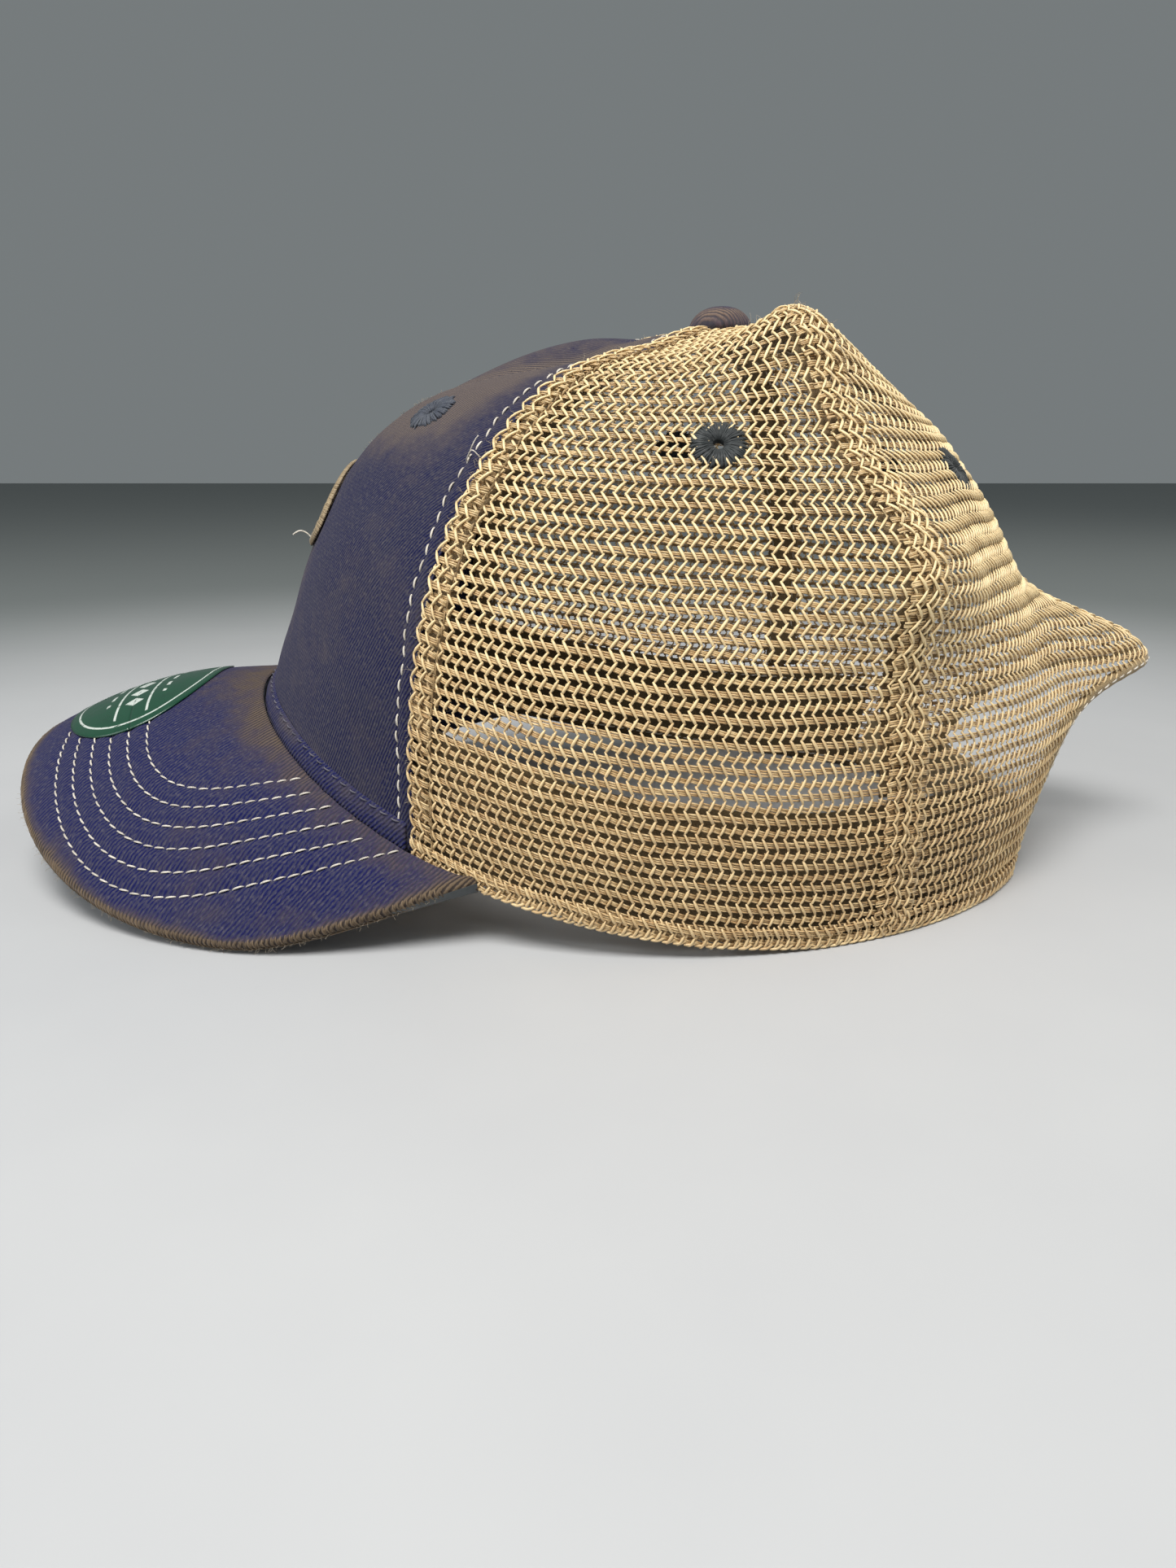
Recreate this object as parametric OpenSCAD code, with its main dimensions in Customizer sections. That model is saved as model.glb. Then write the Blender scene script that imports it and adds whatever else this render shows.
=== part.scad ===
// Six-panel trucker cap: two twill front panels, four open mesh panels, a curved brim and a snap strap
// across the arch at the back. Millimetres. The brim points along -Y, the wearer's left is +X, +Z is up.
// The origin is the middle of the bounding box on the surface that the hem rests on.

/* [Crown] */
// Width of the head opening over the hem
opening_w = 166; // [156:1:172]
// From the middle of the crown to the hem at the front
front_len = 99; // [94:1:104]
// From the middle of the crown to the hem at the back
rear_len = 101; // [96:1:106]
// Height of the crown's top over the back hem
crown_h = 128.5; // [120:0.5:136]
// How far the hem rises at the middle of the front
front_lift = 41; // [36:1:44]
// Thickness of the knitted mesh panels
mesh_t = 1.2; // [1:0.1:1.4]
// Thickness of the twill front panels
twill_t = 1.0; // [0.8:0.1:1.2]

/* [Slack in the mesh] */
// Height of the soft peak behind the button
peak_h = 11; // [0:1:13]
// How far the side-to-back seam puckers outwards
pucker = 12; // [0:1:13]
// Share of the peak and the pucker that shows on the wearer's right
right_share = 0.45; // [0:0.05:1]
// How far the soft point at the middle of the back stands out
point_out = 29; // [0:1:30]
// How far the mesh round the point flares out
flare_out = 9; // [4:1:10]
// How far the centre front seam sags between the panels near the top
seam_sag = 7.5; // [0:0.5:8]
// How far the panel on the wearer's right puffs up beside that seam
seam_puff = 3; // [0:0.1:3.5]

/* [Brim] */
// From the middle of the crown to the brim's tip
brim_tip = 161; // [154:1:168]
// Half the brim's width
brim_half_w = 86; // [84:1:90]
// Height of the brim's tip over the back hem
brim_tip_z = 26; // [22:1:30]
// Thickness of the stiff board
board_t = 2; // [1.6:0.1:2.4]
// Thickness of each twill cover
cover_t = 0.6; // [0.4:0.1:0.8]

/* [Closure] */
// Half the arch's width at the hem, as an angle round the crown
arch_angle = 26.5; // [25:0.5:27]
// Height of the arch
arch_h = 50; // [48:1:54]
// Width of each plastic strap
strap_w = 16; // [14:0.5:17]
// Thickness of each plastic strap
strap_t = 1.2; // [1:0.1:1.4]
// Spacing of the pegs and holes
peg_pitch = 8.5; // [8:0.1:8.6]
// Radius of a peg
peg_r = 2.1; // [1.8:0.1:2.2]
// Clearance round a peg in its hole
peg_gap = 0.25; // [0.2:0.05:0.35]

/* [Trim] */
// Outer radius of a sewn eyelet
eyelet_r = 5.9; // [5:0.1:6.5]
// Radius of an eyelet's hole
eyelet_hole_r = 1.1; // [0.8:0.1:1.5]
// Radius of the top button
button_r = 7.8; // [7:0.1:8.5]
// Height of the top button's dome
button_h = 5.8; // [5:0.1:6.5]
// Width of a seam tape
tape_w = 10; // [8:1:11]
// Height of the sweatband
band_h = 30; // [26:1:34]

/* [Hidden] */

indigo = "#4b4958";
khaki = "#c7b28e";
charcoal = "#46463f";
plastic = "#8d7a5c";

half_w = opening_w / 2;
apex_y = 17.7;
hem_flat_from = 110;
hem_floor = pow(cos(hem_flat_from / 2), 6);
seam_front = 58;
seam_back = 120;
panel_top = 0.985;
panel_rows = 24;
point_z = 50;
flare_z = 38;
sag_t = 0.84;
rear_reach = 135.0 + (point_out - 29) + (flare_out - 9) + (rear_len - 101);
y_shift = (brim_tip - rear_reach) / 2;
air = 0.1;

// ---- the crown's surface ----

function bell(a, w) = exp(-(a / w) * (a / w));
function pow_pos(b, e) = b <= 0 ? 0 : pow(b, e);

// Height of the hem at angle phi: 0 is the front, positive is the wearer's left, 180 is the back.
function hem_z(phi) = front_lift * max(0, pow_pos(cos(phi / 2), 6) - hem_floor) / (1 - hem_floor);
function front_share(phi) = pow_pos(cos(phi), 1.5);

// Point on the outside of the crown: t runs from 0 at the hem to 1 at the top.
function crown_pt(phi, t) =
    let (
        wf = front_share(phi),
        g = max(0, sin(90 * t)),
        dome = pow_pos(1 - pow(g, 2.2 + 2.6 * wf), 1 / (2.2 + 0.25 * wf)),
        f = dome * (1 - 0.27 * wf * g + 0.05 * (1 - wf) * sin(180 * g)),
        len = cos(phi) > 0 ? front_len : rear_len,
        share = phi >= 0 ? 1 : right_share,
        seam = abs(phi) - seam_back,
        back = abs(phi) - 180,
        z0 = hem_z(phi) + (crown_h - hem_z(phi)) * g,
        z = z0 + share * peak_h * bell(seam, 22) * bell(f - 0.45, 0.14),
        r = share * pucker * bell(seam, 16) * bell(z - 80, 17),
        x = (f * half_w + r) * sin(phi),
        sag_share = pow_pos(cos(phi), 0.5) * bell(t - sag_t, t > sag_t ? 0.07 : 0.15),
        sag = seam_sag * bell(x, x > 0 ? 32 : 7) - seam_puff * bell(x + 15, 8),
        point = point_out * bell(back, 13) * bell(z - point_z, z > point_z ? 13 : 16),
        flare = flare_out * bell(back, 34) * bell(z - flare_z, z > flare_z ? 18 : 21)
    )
    [x,
     apex_y - f * (len * cos(phi) + apex_y) - r * cos(phi) + point + flare + y_shift,
     z - sag_share * sag];

// Outward normal; it is level at the hem, so that the hem's edge is cut flat.
function crown_normal(phi, t) =
    let (
        across = crown_pt(phi + 0.5, t) - crown_pt(phi - 0.5, t),
        up = crown_pt(phi, t + 0.004) - crown_pt(phi, t - 0.004),
        c = cross(across, up),
        n = [c[0], c[1], c[2] * min(1, t / 0.03)]
    )
    n / norm(n);

// Point at a depth under the crown's outside; a negative depth stands proud of it.
function crown_in(phi, t, depth) = crown_pt(phi, t) - depth * crown_normal(phi, t);

// The t at which the undisturbed crown is a height above the hem.
function t_at(phi, height) = asin(height / (crown_h - hem_z(phi))) / 90;

// ---- the brim's surface ----

brim_angle = 66;
brim_root_y = -38;
brim_dip = 0.78;
brim_gap = 1.3;

// Middle surface of the brim: s runs from -1 to 1 round the edge, q from the crown to the rim.
function brim_mid(s, q) =
    let (
        phi = s * brim_angle,
        root = [half_w * sin(phi), y_shift - front_len * cos(phi), hem_z(phi)],
        side = sin(90 * abs(s)),
        a = abs(s),
        drop = brim_tip_z * pow_pos(sin(90 * min(a / brim_dip, 1)), 1.7),
        rise = (brim_tip_z / 2) * pow_pos((a - brim_dip) / (1 - brim_dip), 1.6),
        corner_in = (brim_half_w - half_w * sin(brim_angle) - 3) * pow_pos((a - 0.72) / 0.28, 2),
        rim = [sign(s) * (brim_half_w * pow_pos(side, 0.88) - corner_in),
               y_shift + brim_root_y - (brim_tip + brim_root_y) * pow_pos(cos(90 * s), 0.8),
               brim_tip_z - drop + rise],
        reach = norm(rim - root),
        w = (brim_gap + q * (reach - brim_gap)) / reach,
        crown_of_brim = 5 * sin(180 * w) * pow_pos(1 - a, 0.7)
    )
    root + w * (rim - root) + [0, 0, crown_of_brim + floor_lift];

function brim_normal(s, q) =
    let (
        e = 0.004,
        s0 = max(s - e, -0.999),
        s1 = min(s + e, 0.999),
        n = cross(brim_mid(s1, q) - brim_mid(s0, q), brim_mid(s, q - e) - brim_mid(s, q + e))
    )
    n / norm(n);

function brim_at(s, q, height) = brim_mid(s, q) + height * brim_normal(s, q);

// Lifts the brim so that its under cover just touches the surface that the hem rests on.
floor_lift = board_t / 2 + cover_t - 0.55;

// ---- solids from grids of points ----

// A closed slab between two grids of the same size.
module slab(outside, inside) {
    rows = len(outside);
    cols = len(outside[0]);
    size = rows * cols;
    points = [for (grid = [outside, inside]) for (row = grid) each row];
    skin = [for (i = [0 : rows - 2]) for (j = [0 : cols - 2]) let (k = i * cols + j)
            each [[k, k + cols, k + cols + 1], [k, k + cols + 1, k + 1]]];
    lining = [for (t = skin) [t[0] + size, t[2] + size, t[1] + size]];
    low = [for (j = [0 : cols - 1]) j];
    right = [for (i = [1 : rows - 1]) i * cols + cols - 1];
    high = [for (j = [cols - 2 : -1 : 0]) (rows - 1) * cols + j];
    left = [for (i = [rows - 2 : -1 : 1]) i * cols];
    rim = concat(low, right, high, left);
    wall = [for (k = [0 : len(rim) - 1]) let (a = rim[k], b = rim[(k + 1) % len(rim)])
            each [[a, b, b + size], [a, b + size, a + size]]];
    polyhedron(points, concat(skin, lining, wall), convexity = 8);
}

function steps(a, b, n) = [for (i = [0 : n]) a + (b - a) * i / n];

// A patch of the crown between two depths; each column is [phi, lowest t, highest t].
module crown_patch(columns, rows, depth_out, depth_in) {
    function grid(depth) = [for (r = [0 : rows]) [for (c = columns)
        crown_in(c[0], c[1] + (c[2] - c[1]) * r / rows, depth)]];
    slab(grid(depth_out), grid(depth_in));
}

// A patch of the brim between two heights over its middle surface.
module brim_patch(q_rim, low, high) {
    function grid(height) = [for (q = steps(0, q_rim, 6)) [for (s = steps(1, -1, 28))
        brim_at(s, q, height)]];
    slab(grid(high), grid(low));
}

// ---- panels ----

module front_panel(side) {
    columns = side > 0 ? steps(0, seam_front, 11) : steps(-seam_front, 0, 11);
    color(indigo) crown_patch([for (p = columns) [p, 0, panel_top]], panel_rows, 0, twill_t);
}

module side_mesh(side) {
    columns = side > 0 ? steps(seam_front, seam_back, 14) : steps(-seam_back, -seam_front, 14);
    color(khaki) crown_patch([for (p = columns) [p, 0, panel_top]], panel_rows, 0, mesh_t);
}

// Edge of the arch: a runs from 0 at the hem on the wearer's left, over the top at 90, to 180.
function arch_phi(a, k) = 180 - arch_angle * k * cos(a);
function arch_t(a, k) = t_at(180, arch_h * k * sin(a));

module back_mesh(side) {
    beside = [for (p = steps(seam_back, 180 - arch_angle, 7)) [p, 0, panel_top]];
    over = [for (a = steps(7.5, 90, 11)) [arch_phi(a, 1), arch_t(a, 1), panel_top]];
    left = concat(beside, over);
    last = len(left) - 1;
    right = [for (i = [0 : last]) [-left[last - i][0], left[last - i][1], left[last - i][2]]];
    color(khaki) crown_patch(side > 0 ? left : right, panel_rows, 0, mesh_t);
}

module arch_binding() {
    edge = [0.93, 0.995];
    function grid(depth) = [for (k = edge) [for (a = steps(178, 2, 32))
        crown_in(arch_phi(a, k), arch_t(a, k), depth)]];
    color(indigo) slab(grid(-0.5), grid(mesh_t + 0.5));
}

// ---- brim ----

module brim_board() {
    color("tan") brim_patch(0.975, -board_t / 2, board_t / 2);
}

module brim_top_cover() {
    color(indigo) brim_patch(1, board_t / 2 + 0.05, board_t / 2 + 0.05 + cover_t);
}

module brim_under_cover() {
    color(indigo) brim_patch(1, -board_t / 2 - 0.05 - cover_t, -board_t / 2 - 0.05);
}

strip_h = 7;

// Folded twill strip that covers the seam between the front panels and the brim.
module brim_seam_strip() {
    columns = [for (p = steps(-seam_front + 1, seam_front - 1, 26)) [p, 0, t_at(p, strip_h)]];
    color(indigo) crown_patch(columns, 3, -0.8, -air);
}

// A closed oval slab; at(x, y, height) gives a point of it for x and y from -1 to 1.
module oval_slab(at, high, low) {
    rings = [0.25, 0.5, 0.75, 1];
    n = 48;
    last = len(rings) - 1;
    points = [for (h = [high, low]) each concat([at(0, 0, h)],
              [for (r = rings) for (j = [0 : n - 1]) at(r * cos(360 * j / n), r * sin(360 * j / n), h)])];
    half = 1 + n * len(rings);
    middle = [for (j = [0 : n - 1]) [0, 1 + (j + 1) % n, 1 + j]];
    bands = [for (k = [0 : last - 1]) for (j = [0 : n - 1])
             let (a = 1 + k * n + j, b = 1 + k * n + (j + 1) % n)
             each [[a, b, b + n], [a, b + n, a + n]]];
    top = concat(middle, bands);
    under = [for (t = top) [t[0] + half, t[2] + half, t[1] + half]];
    edge = [for (j = [0 : n - 1]) let (a = half - n + j, b = half - n + (j + 1) % n)
            each [[a, b, b + half], [a, b + half, a + half]]];
    polyhedron(points, concat(top, under, edge), convexity = 4);
}

module brim_sticker() {
    face = board_t / 2 + 0.05 + cover_t;
    color("#14553c") oval_slab(function(x, y, h) brim_at(0.23 * x, 0.54 - 0.31 * y, h),
                               face + 0.3, face + 0.05);
}

// ---- inside ----

band_end = 138;
lining_depth = 1.8;
tape_depth = 2;

module sweatband() {
    columns = [for (p = steps(-band_end, band_end, 56)) [p, t_at(p, 0.4), t_at(p, band_h)]];
    color("#5a5a66") crown_patch(columns, 4, lining_depth, lining_depth + 1);
}

// One leg of a seam tape, from a height over the hem to near the crown's top.
module tape_leg(phi, height) {
    function spread(t) = let (f = crown_pt(phi, t) - [0, apex_y + y_shift, 0])
        asin(min(1, tape_w / 2 / norm([f[0], f[1]])));
    function grid(depth) = [for (t = steps(t_at(phi, height), 0.93, 20)) [for (k = [-1 : 0.5 : 1])
        crown_in(phi + k * spread(t), t, depth)]];
    slab(grid(tape_depth), grid(tape_depth + 0.6));
}

module centre_seam_tape() {
    color("#5a5a66") {
        tape_leg(0, band_h + 1);
        tape_leg(180, arch_h + 6);
    }
}

module seam_tape(side) {
    color("#5a5a66") {
        tape_leg(side * seam_front, band_h + 1);
        tape_leg(-side * seam_back, band_h + 1);
    }
}

// ---- top button ----

module at_apex() {
    translate([0, apex_y + y_shift, crown_h]) children();
}

// Dome with a rounded shoulder, as the area under its outline.
module dome_outline(r, h, base) {
    steps_n = 14;
    polygon(concat([[0, base], [r, base]],
        [for (i = [1 : steps_n - 1]) let (a = 90 * i / steps_n)
            [r * pow(cos(a), 0.72), base + (h - base) * pow(sin(a), 0.85)]],
        [[0, h]]));
}

module top_button_cover() {
    color("#82776d") at_apex() translate([0, 0, 0.2]) rotate_extrude($fn = 64) difference() {
        dome_outline(button_r, button_h, 0);
        translate([0, -0.01]) dome_outline(button_r - 0.6, button_h - 0.6, 0);
    }
}

module top_button_shell() {
    color("silver") at_apex() translate([0, 0, 0.2]) rotate_extrude($fn = 64)
        dome_outline(button_r - 0.7, button_h - 0.7, 0.4);
}

// Stem and washer that hold the button from inside the crown.
module top_button_back() {
    stem_r = 1.5;
    color("silver") at_apex() {
        translate([0, 0, -2.5]) cylinder(r = stem_r, h = 3, $fn = 32);
        translate([0, 0, -3.3]) cylinder(r = 6.5, h = 0.9, $fn = 64);
    }
}

// ---- eyelets, embroidery ----

module eyelet(phi, t) {
    n = crown_normal(phi, t);
    turn = [0, acos(n[2]), atan2(n[1], n[0])];
    translate(crown_pt(phi, t) + 0.25 * n) rotate(turn) difference() {
        cylinder(r = eyelet_r, h = 0.9, $fn = 48);
        translate([0, 0, -1]) cylinder(r = eyelet_hole_r, h = 3, $fn = 24);
    }
}

module eyelets(phi, t) {
    color(charcoal) for (side = [-1, 1]) eyelet(side * phi, t);
}

module front_embroidery() {
    middle_z = 47;
    half_z = 10;
    half_angle = 18;
    color("#b09468") oval_slab(function(x, y, h)
        crown_in(half_angle * x, t_at(half_angle * x, middle_z + half_z * y), -h), 0.9, air);
}

// ---- snap closure ----

hinge_x = 31;
strap_z = 10;
outer_strap_y = 91.0 + y_shift + (rear_len - 101);
strap_step = strap_t + 0.1;
strap_overlap_end = 27;
pegs = 6;

strap_first_hole = (pegs - 1) * peg_pitch / 2;

// Outline of a strap that runs from x = 0 to its rounded end at x = reach.
module strap_outline(reach) {
    hull() {
        translate([0, -strap_w / 2]) square([1, strap_w]);
        for (s = [-1, 1]) translate([reach - 5, s * (strap_w / 2 - 5)]) circle(r = 5, $fn = 48);
    }
}

// Stands an outline in the XZ plane, centred on the strap's middle plane.
module upright(y) {
    translate([0, y + strap_t / 2, strap_z]) rotate([90, 0, 0]) children();
}

module hole_strap() {
    color(plastic) difference() {
        upright(outer_strap_y) linear_extrude(strap_t) translate([hinge_x, 0]) mirror([1, 0])
            strap_outline(hinge_x + strap_overlap_end);
        for (i = [0 : pegs - 1]) translate([strap_first_hole - i * peg_pitch, outer_strap_y, strap_z])
            rotate([90, 0, 0]) cylinder(r = peg_r + peg_gap, h = 8, center = true, $fn = 40);
    }
}

module peg_strap() {
    y = outer_strap_y - strap_step;
    peg_neck = strap_t / 2 + strap_step;
    color(plastic) {
        upright(y) linear_extrude(strap_t) translate([-hinge_x, 0])
            strap_outline(hinge_x + strap_overlap_end);
        for (i = [0 : pegs - 1]) translate([-strap_first_hole + i * peg_pitch, y, strap_z])
            rotate([-90, 0, 0]) {
                cylinder(r = peg_r, h = peg_neck, $fn = 40);
                translate([0, 0, peg_neck]) cylinder(r1 = peg_r, r2 = peg_r - 0.7, h = 0.6, $fn = 40);
            }
    }
}

// Sewn end of a strap, inside the mesh beside the arch.
module strap_tab(side, depth, end_phi) {
    half = strap_w / 2 - 0.5;
    columns = [for (p = steps(140, end_phi, 8)) [p, t_at(p, strap_z - half), t_at(p, strap_z + half)]];
    last = len(columns) - 1;
    right = [for (i = [0 : last]) [-columns[last - i][0], columns[last - i][1], columns[last - i][2]]];
    color(plastic) crown_patch(side > 0 ? columns : right, 2, depth, depth + strap_t);
}

tab_depth = mesh_t + 0.75;

front_panel(1);  // front_panel_left
front_panel(-1);  // front_panel_right
side_mesh(1);  // side_mesh_left
side_mesh(-1);  // side_mesh_right
back_mesh(1);  // back_mesh_left
back_mesh(-1);  // back_mesh_right
arch_binding();
brim_board();
brim_top_cover();
brim_under_cover();
brim_seam_strip();
sweatband();
centre_seam_tape();
seam_tape(1);  // left_seam_tape
seam_tape(-1);  // right_seam_tape
top_button_cover();
top_button_shell();
top_button_back();
eyelets(34, 0.595);  // front_eyelets
eyelets(95, 0.58);  // side_eyelets
eyelets(151, 0.545);  // back_eyelets
front_embroidery();
brim_sticker();
hole_strap();
peg_strap();
strap_tab(1, tab_depth, 156.4);  // hole_strap_tab
strap_tab(-1, tab_depth + strap_step, 155.4);  // peg_strap_tab
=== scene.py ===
"""Trucker mesh cap: its cloth, knit, stitching and finishes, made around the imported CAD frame.

Shapes follow the same rules as the CAD model. Working lengths are in millimetres and angles in
degrees, and each mesh is scaled to metres as it is made. +X is the wearer's left, -Y the front.
"""
import math

import bpy
import numpy as np
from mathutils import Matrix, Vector


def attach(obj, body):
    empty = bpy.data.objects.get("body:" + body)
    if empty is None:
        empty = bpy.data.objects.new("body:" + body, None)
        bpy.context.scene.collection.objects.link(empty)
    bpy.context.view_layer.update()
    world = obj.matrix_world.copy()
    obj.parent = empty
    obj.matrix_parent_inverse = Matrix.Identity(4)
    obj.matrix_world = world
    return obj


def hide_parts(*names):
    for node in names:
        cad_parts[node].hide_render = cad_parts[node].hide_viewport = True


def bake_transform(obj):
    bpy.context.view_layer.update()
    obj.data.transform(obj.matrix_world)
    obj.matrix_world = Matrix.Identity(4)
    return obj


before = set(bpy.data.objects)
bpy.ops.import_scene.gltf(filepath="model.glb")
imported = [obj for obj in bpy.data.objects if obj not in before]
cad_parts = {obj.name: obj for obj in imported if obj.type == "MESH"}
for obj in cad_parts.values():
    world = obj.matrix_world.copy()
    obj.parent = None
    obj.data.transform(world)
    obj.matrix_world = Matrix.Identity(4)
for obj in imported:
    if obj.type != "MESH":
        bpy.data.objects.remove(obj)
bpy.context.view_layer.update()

MM = 0.001

# ---------------------------------------------------------------- dimensions shared with the CAD
HALF_W, FRONT_LEN, REAR_LEN = 83.0, 99.0, 101.0
CROWN_H, FRONT_LIFT = 128.5, 41.0
PEAK_H, PUCKER, RIGHT_SHARE = 11.0, 12.0, 0.45
POINT_OUT, FLARE_OUT = 29.0, 9.0
SEAM_SAG, SEAM_PUFF, SAG_T = 7.5, 3.0, 0.84
APEX_Y, Y_SHIFT = 17.7, 13.0
SEAM_FRONT, SEAM_BACK, PANEL_TOP = 58.0, 120.0, 0.985
BRIM_TIP, BRIM_HALF_W, BRIM_TIP_Z = 161.0, 86.0, 26.0
BRIM_ANGLE, BRIM_ROOT_Y, BRIM_DIP, BRIM_GAP = 66.0, -38.0, 0.78, 1.3
FLOOR_LIFT = 1.05
ARCH_ANGLE, ARCH_H = 26.5, 50.0
STRAP_W, STRAP_T, HINGE_X = 16.0, 1.2, 31.0
EYELET_R, EYELET_BORE, EYELET_PAD_IN, EYELET_PAD_OUT = 5.9, 1.12, 1.3, 5.3
BUTTON_R, BUTTON_Z0, BUTTON_Z1 = 7.8, 128.7, 134.5
EMBLEM_ANGLE, EMBLEM_Z, EMBLEM_HALF_H = 18.0, 47.0, 10.0
STICKER_S, STICKER_Q, STICKER_HALF_Q = 0.23, 0.54, 0.31
SWEATBAND_H, SWEATBAND_ANGLE, TAPE_HALF_W, TAPE_TOP = 30.0, 138.0, 5.0, 0.93
STRAP_Z = 10.0
# Where each pair's eyelet sits on the wearer's left, as (phi, t); the other side mirrors it
EYELETS = {"front": (34.0, 0.595), "side": (95.0, 0.58), "back": (151.0, 0.545)}

# ---------------------------------------------------------------- cloth, knit and thread sizes
TWILL_T, COVER_IN, COVER_OUT = 1.0, 1.05, 1.72
WALE_GAP, COURSE_LOW, COURSE_HIGH, ZIGZAG_LOW, ZIGZAG_HIGH = 2.3, 2.4, 2.7, 1.15, 1.8
STRAND_GAP, STRAND_R, BAR_R = 0.4, 0.215, 0.325
BRIM_ROWS = 6
ROW_WIDE, ROW_WIDE_STEP, ROW_DEEP, ROW_DEEP_STEP = 72.8, 4.0, 60.7, 4.6
ROW_POWER, ROW_POWER_STEP, ROW_CENTRE_Y, ROW_TAPER = 2.45, 0.11, -75.0, 0.002
EYELET_CUT_TWILL, EYELET_CUT_KNIT = 1.9, 2.6
SWEATBAND_OUT, SWEATBAND_IN, TAPE_OUT, TAPE_IN = 1.85, 2.85, 2.02, 2.72
BINDING_HALF_W, BINDING_HALF_T, BINDING_IN = 1.75, 1.2, 0.6
BRIM_EDGE_IN, BRIM_EDGE_R = 1.5, 1.75
STITCH_PITCH, STITCH_LENGTH, THREAD_R, STITCH_SINK = 3.1, 2.6, 0.24, 0.16
TOPSTITCH_IN = 3.9
STICKER_HALF_W, STICKER_HALF_D = 30.0, 21.0

random = np.random.default_rng(20)


# ---------------------------------------------------------------- the crown's surface
def sind(a):
    return np.sin(np.radians(a))


def cosd(a):
    return np.cos(np.radians(a))


def bell(a, w):
    """A smooth bump of height 1 round a = 0, about w wide to each side."""
    return np.exp(-((a / w) ** 2))


def uneven_bell(a, above, below):
    return bell(a, np.where(a > 0, above, below))


def pow_pos(b, e):
    return np.maximum(b, 0.0) ** e


def norm(v):
    return np.linalg.norm(v, axis=-1)


def vec(*parts):
    """Arrays of one shape as the components of vectors along the last axis."""
    return np.stack(parts, -1)


def floats(a, b):
    return np.broadcast_arrays(np.asarray(a, float), np.asarray(b, float))


HEM_FLOOR = cosd(55.0) ** 6


def hem_z(phi):
    """Height of the crown's lower edge. phi is 0 at the front and grows towards the wearer's left."""
    return FRONT_LIFT * np.maximum(0, pow_pos(cosd(phi / 2), 6) - HEM_FLOOR) / (1 - HEM_FLOOR)


def crown_pt(phi, t):
    """Point of the crown's outer face, from t = 0 at the hem to 1 at the top."""
    phi, t = floats(phi, t)
    front = pow_pos(cosd(phi), 1.5)
    rise = np.maximum(0, sind(90 * t))
    dome = pow_pos(1 - rise ** (2.2 + 2.6 * front), 1 / (2.2 + 0.25 * front))
    f = dome * (1 - 0.27 * front * rise + 0.05 * (1 - front) * sind(180 * rise))
    length = np.where(cosd(phi) > 0, FRONT_LEN, REAR_LEN)
    share = np.where(phi >= 0, 1.0, RIGHT_SHARE)
    seam, back = np.abs(phi) - SEAM_BACK, np.abs(phi) - 180
    z = hem_z(phi) + (CROWN_H - hem_z(phi)) * rise
    z = z + share * PEAK_H * bell(seam, 22) * bell(f - 0.45, 0.14)
    out = share * PUCKER * bell(seam, 16) * bell(z - 80, 17)
    point = POINT_OUT * bell(back, 13) * uneven_bell(z - 50, 13.0, 16.0)
    flare = FLARE_OUT * bell(back, 34) * uneven_bell(z - 38, 18.0, 21.0)
    x = (f * HALF_W + out) * sind(phi)
    y = APEX_Y - f * (length * cosd(phi) + APEX_Y) - out * cosd(phi) + point + flare + Y_SHIFT
    sag = SEAM_SAG * uneven_bell(x, 32.0, 7.0) - SEAM_PUFF * bell(x + 15, 8)
    sag = sag * pow_pos(cosd(phi), 0.5) * uneven_bell(t - SAG_T, 0.07, 0.15)
    return vec(x, y, z - sag)


def unit(v):
    return v / np.maximum(np.linalg.norm(v, axis=-1, keepdims=True), 1e-9)


def crown_normal(phi, t):
    """Outward direction of the crown at (phi, t), level at the hem."""
    phi, t = floats(phi, t)
    t0, t1 = np.maximum(t - 0.004, 0), np.minimum(t + 0.004, 1)
    across = crown_pt(phi + 0.5, t) - crown_pt(phi - 0.5, t)
    n = np.cross(across, crown_pt(phi, t1) - crown_pt(phi, t0))
    n[..., 2] *= np.clip(t / 0.03, 0, 1)
    return unit(n)


def crown_at(phi, t, lift=0.0):
    lift = np.asarray(lift, float)
    return crown_pt(phi, t) + lift[..., None] * crown_normal(phi, t)


def t_at(phi, height):
    """The t at which the crown reaches a height over the floor of its own hem."""
    return np.degrees(np.arcsin(np.clip(height / (CROWN_H - hem_z(phi)), 0, 1))) / 90


def mm_per_degree(phi, t):
    """Millimetres along the crown for each degree of phi."""
    return norm(crown_pt(phi + 0.5, t) - crown_pt(phi - 0.5, t))


def beside(phi, t, mm):
    """The phi of a place mm round the crown from another, at the same t."""
    return phi + mm / mm_per_degree(phi, t)


def arc_lengths(points, axis):
    """Running length along one axis of a grid of points, from 0."""
    step = norm(np.diff(points, axis=axis))
    start = np.zeros_like(np.take(step, [0], axis=axis))
    return np.concatenate([start, np.cumsum(step, axis=axis)], axis=axis)


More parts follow.
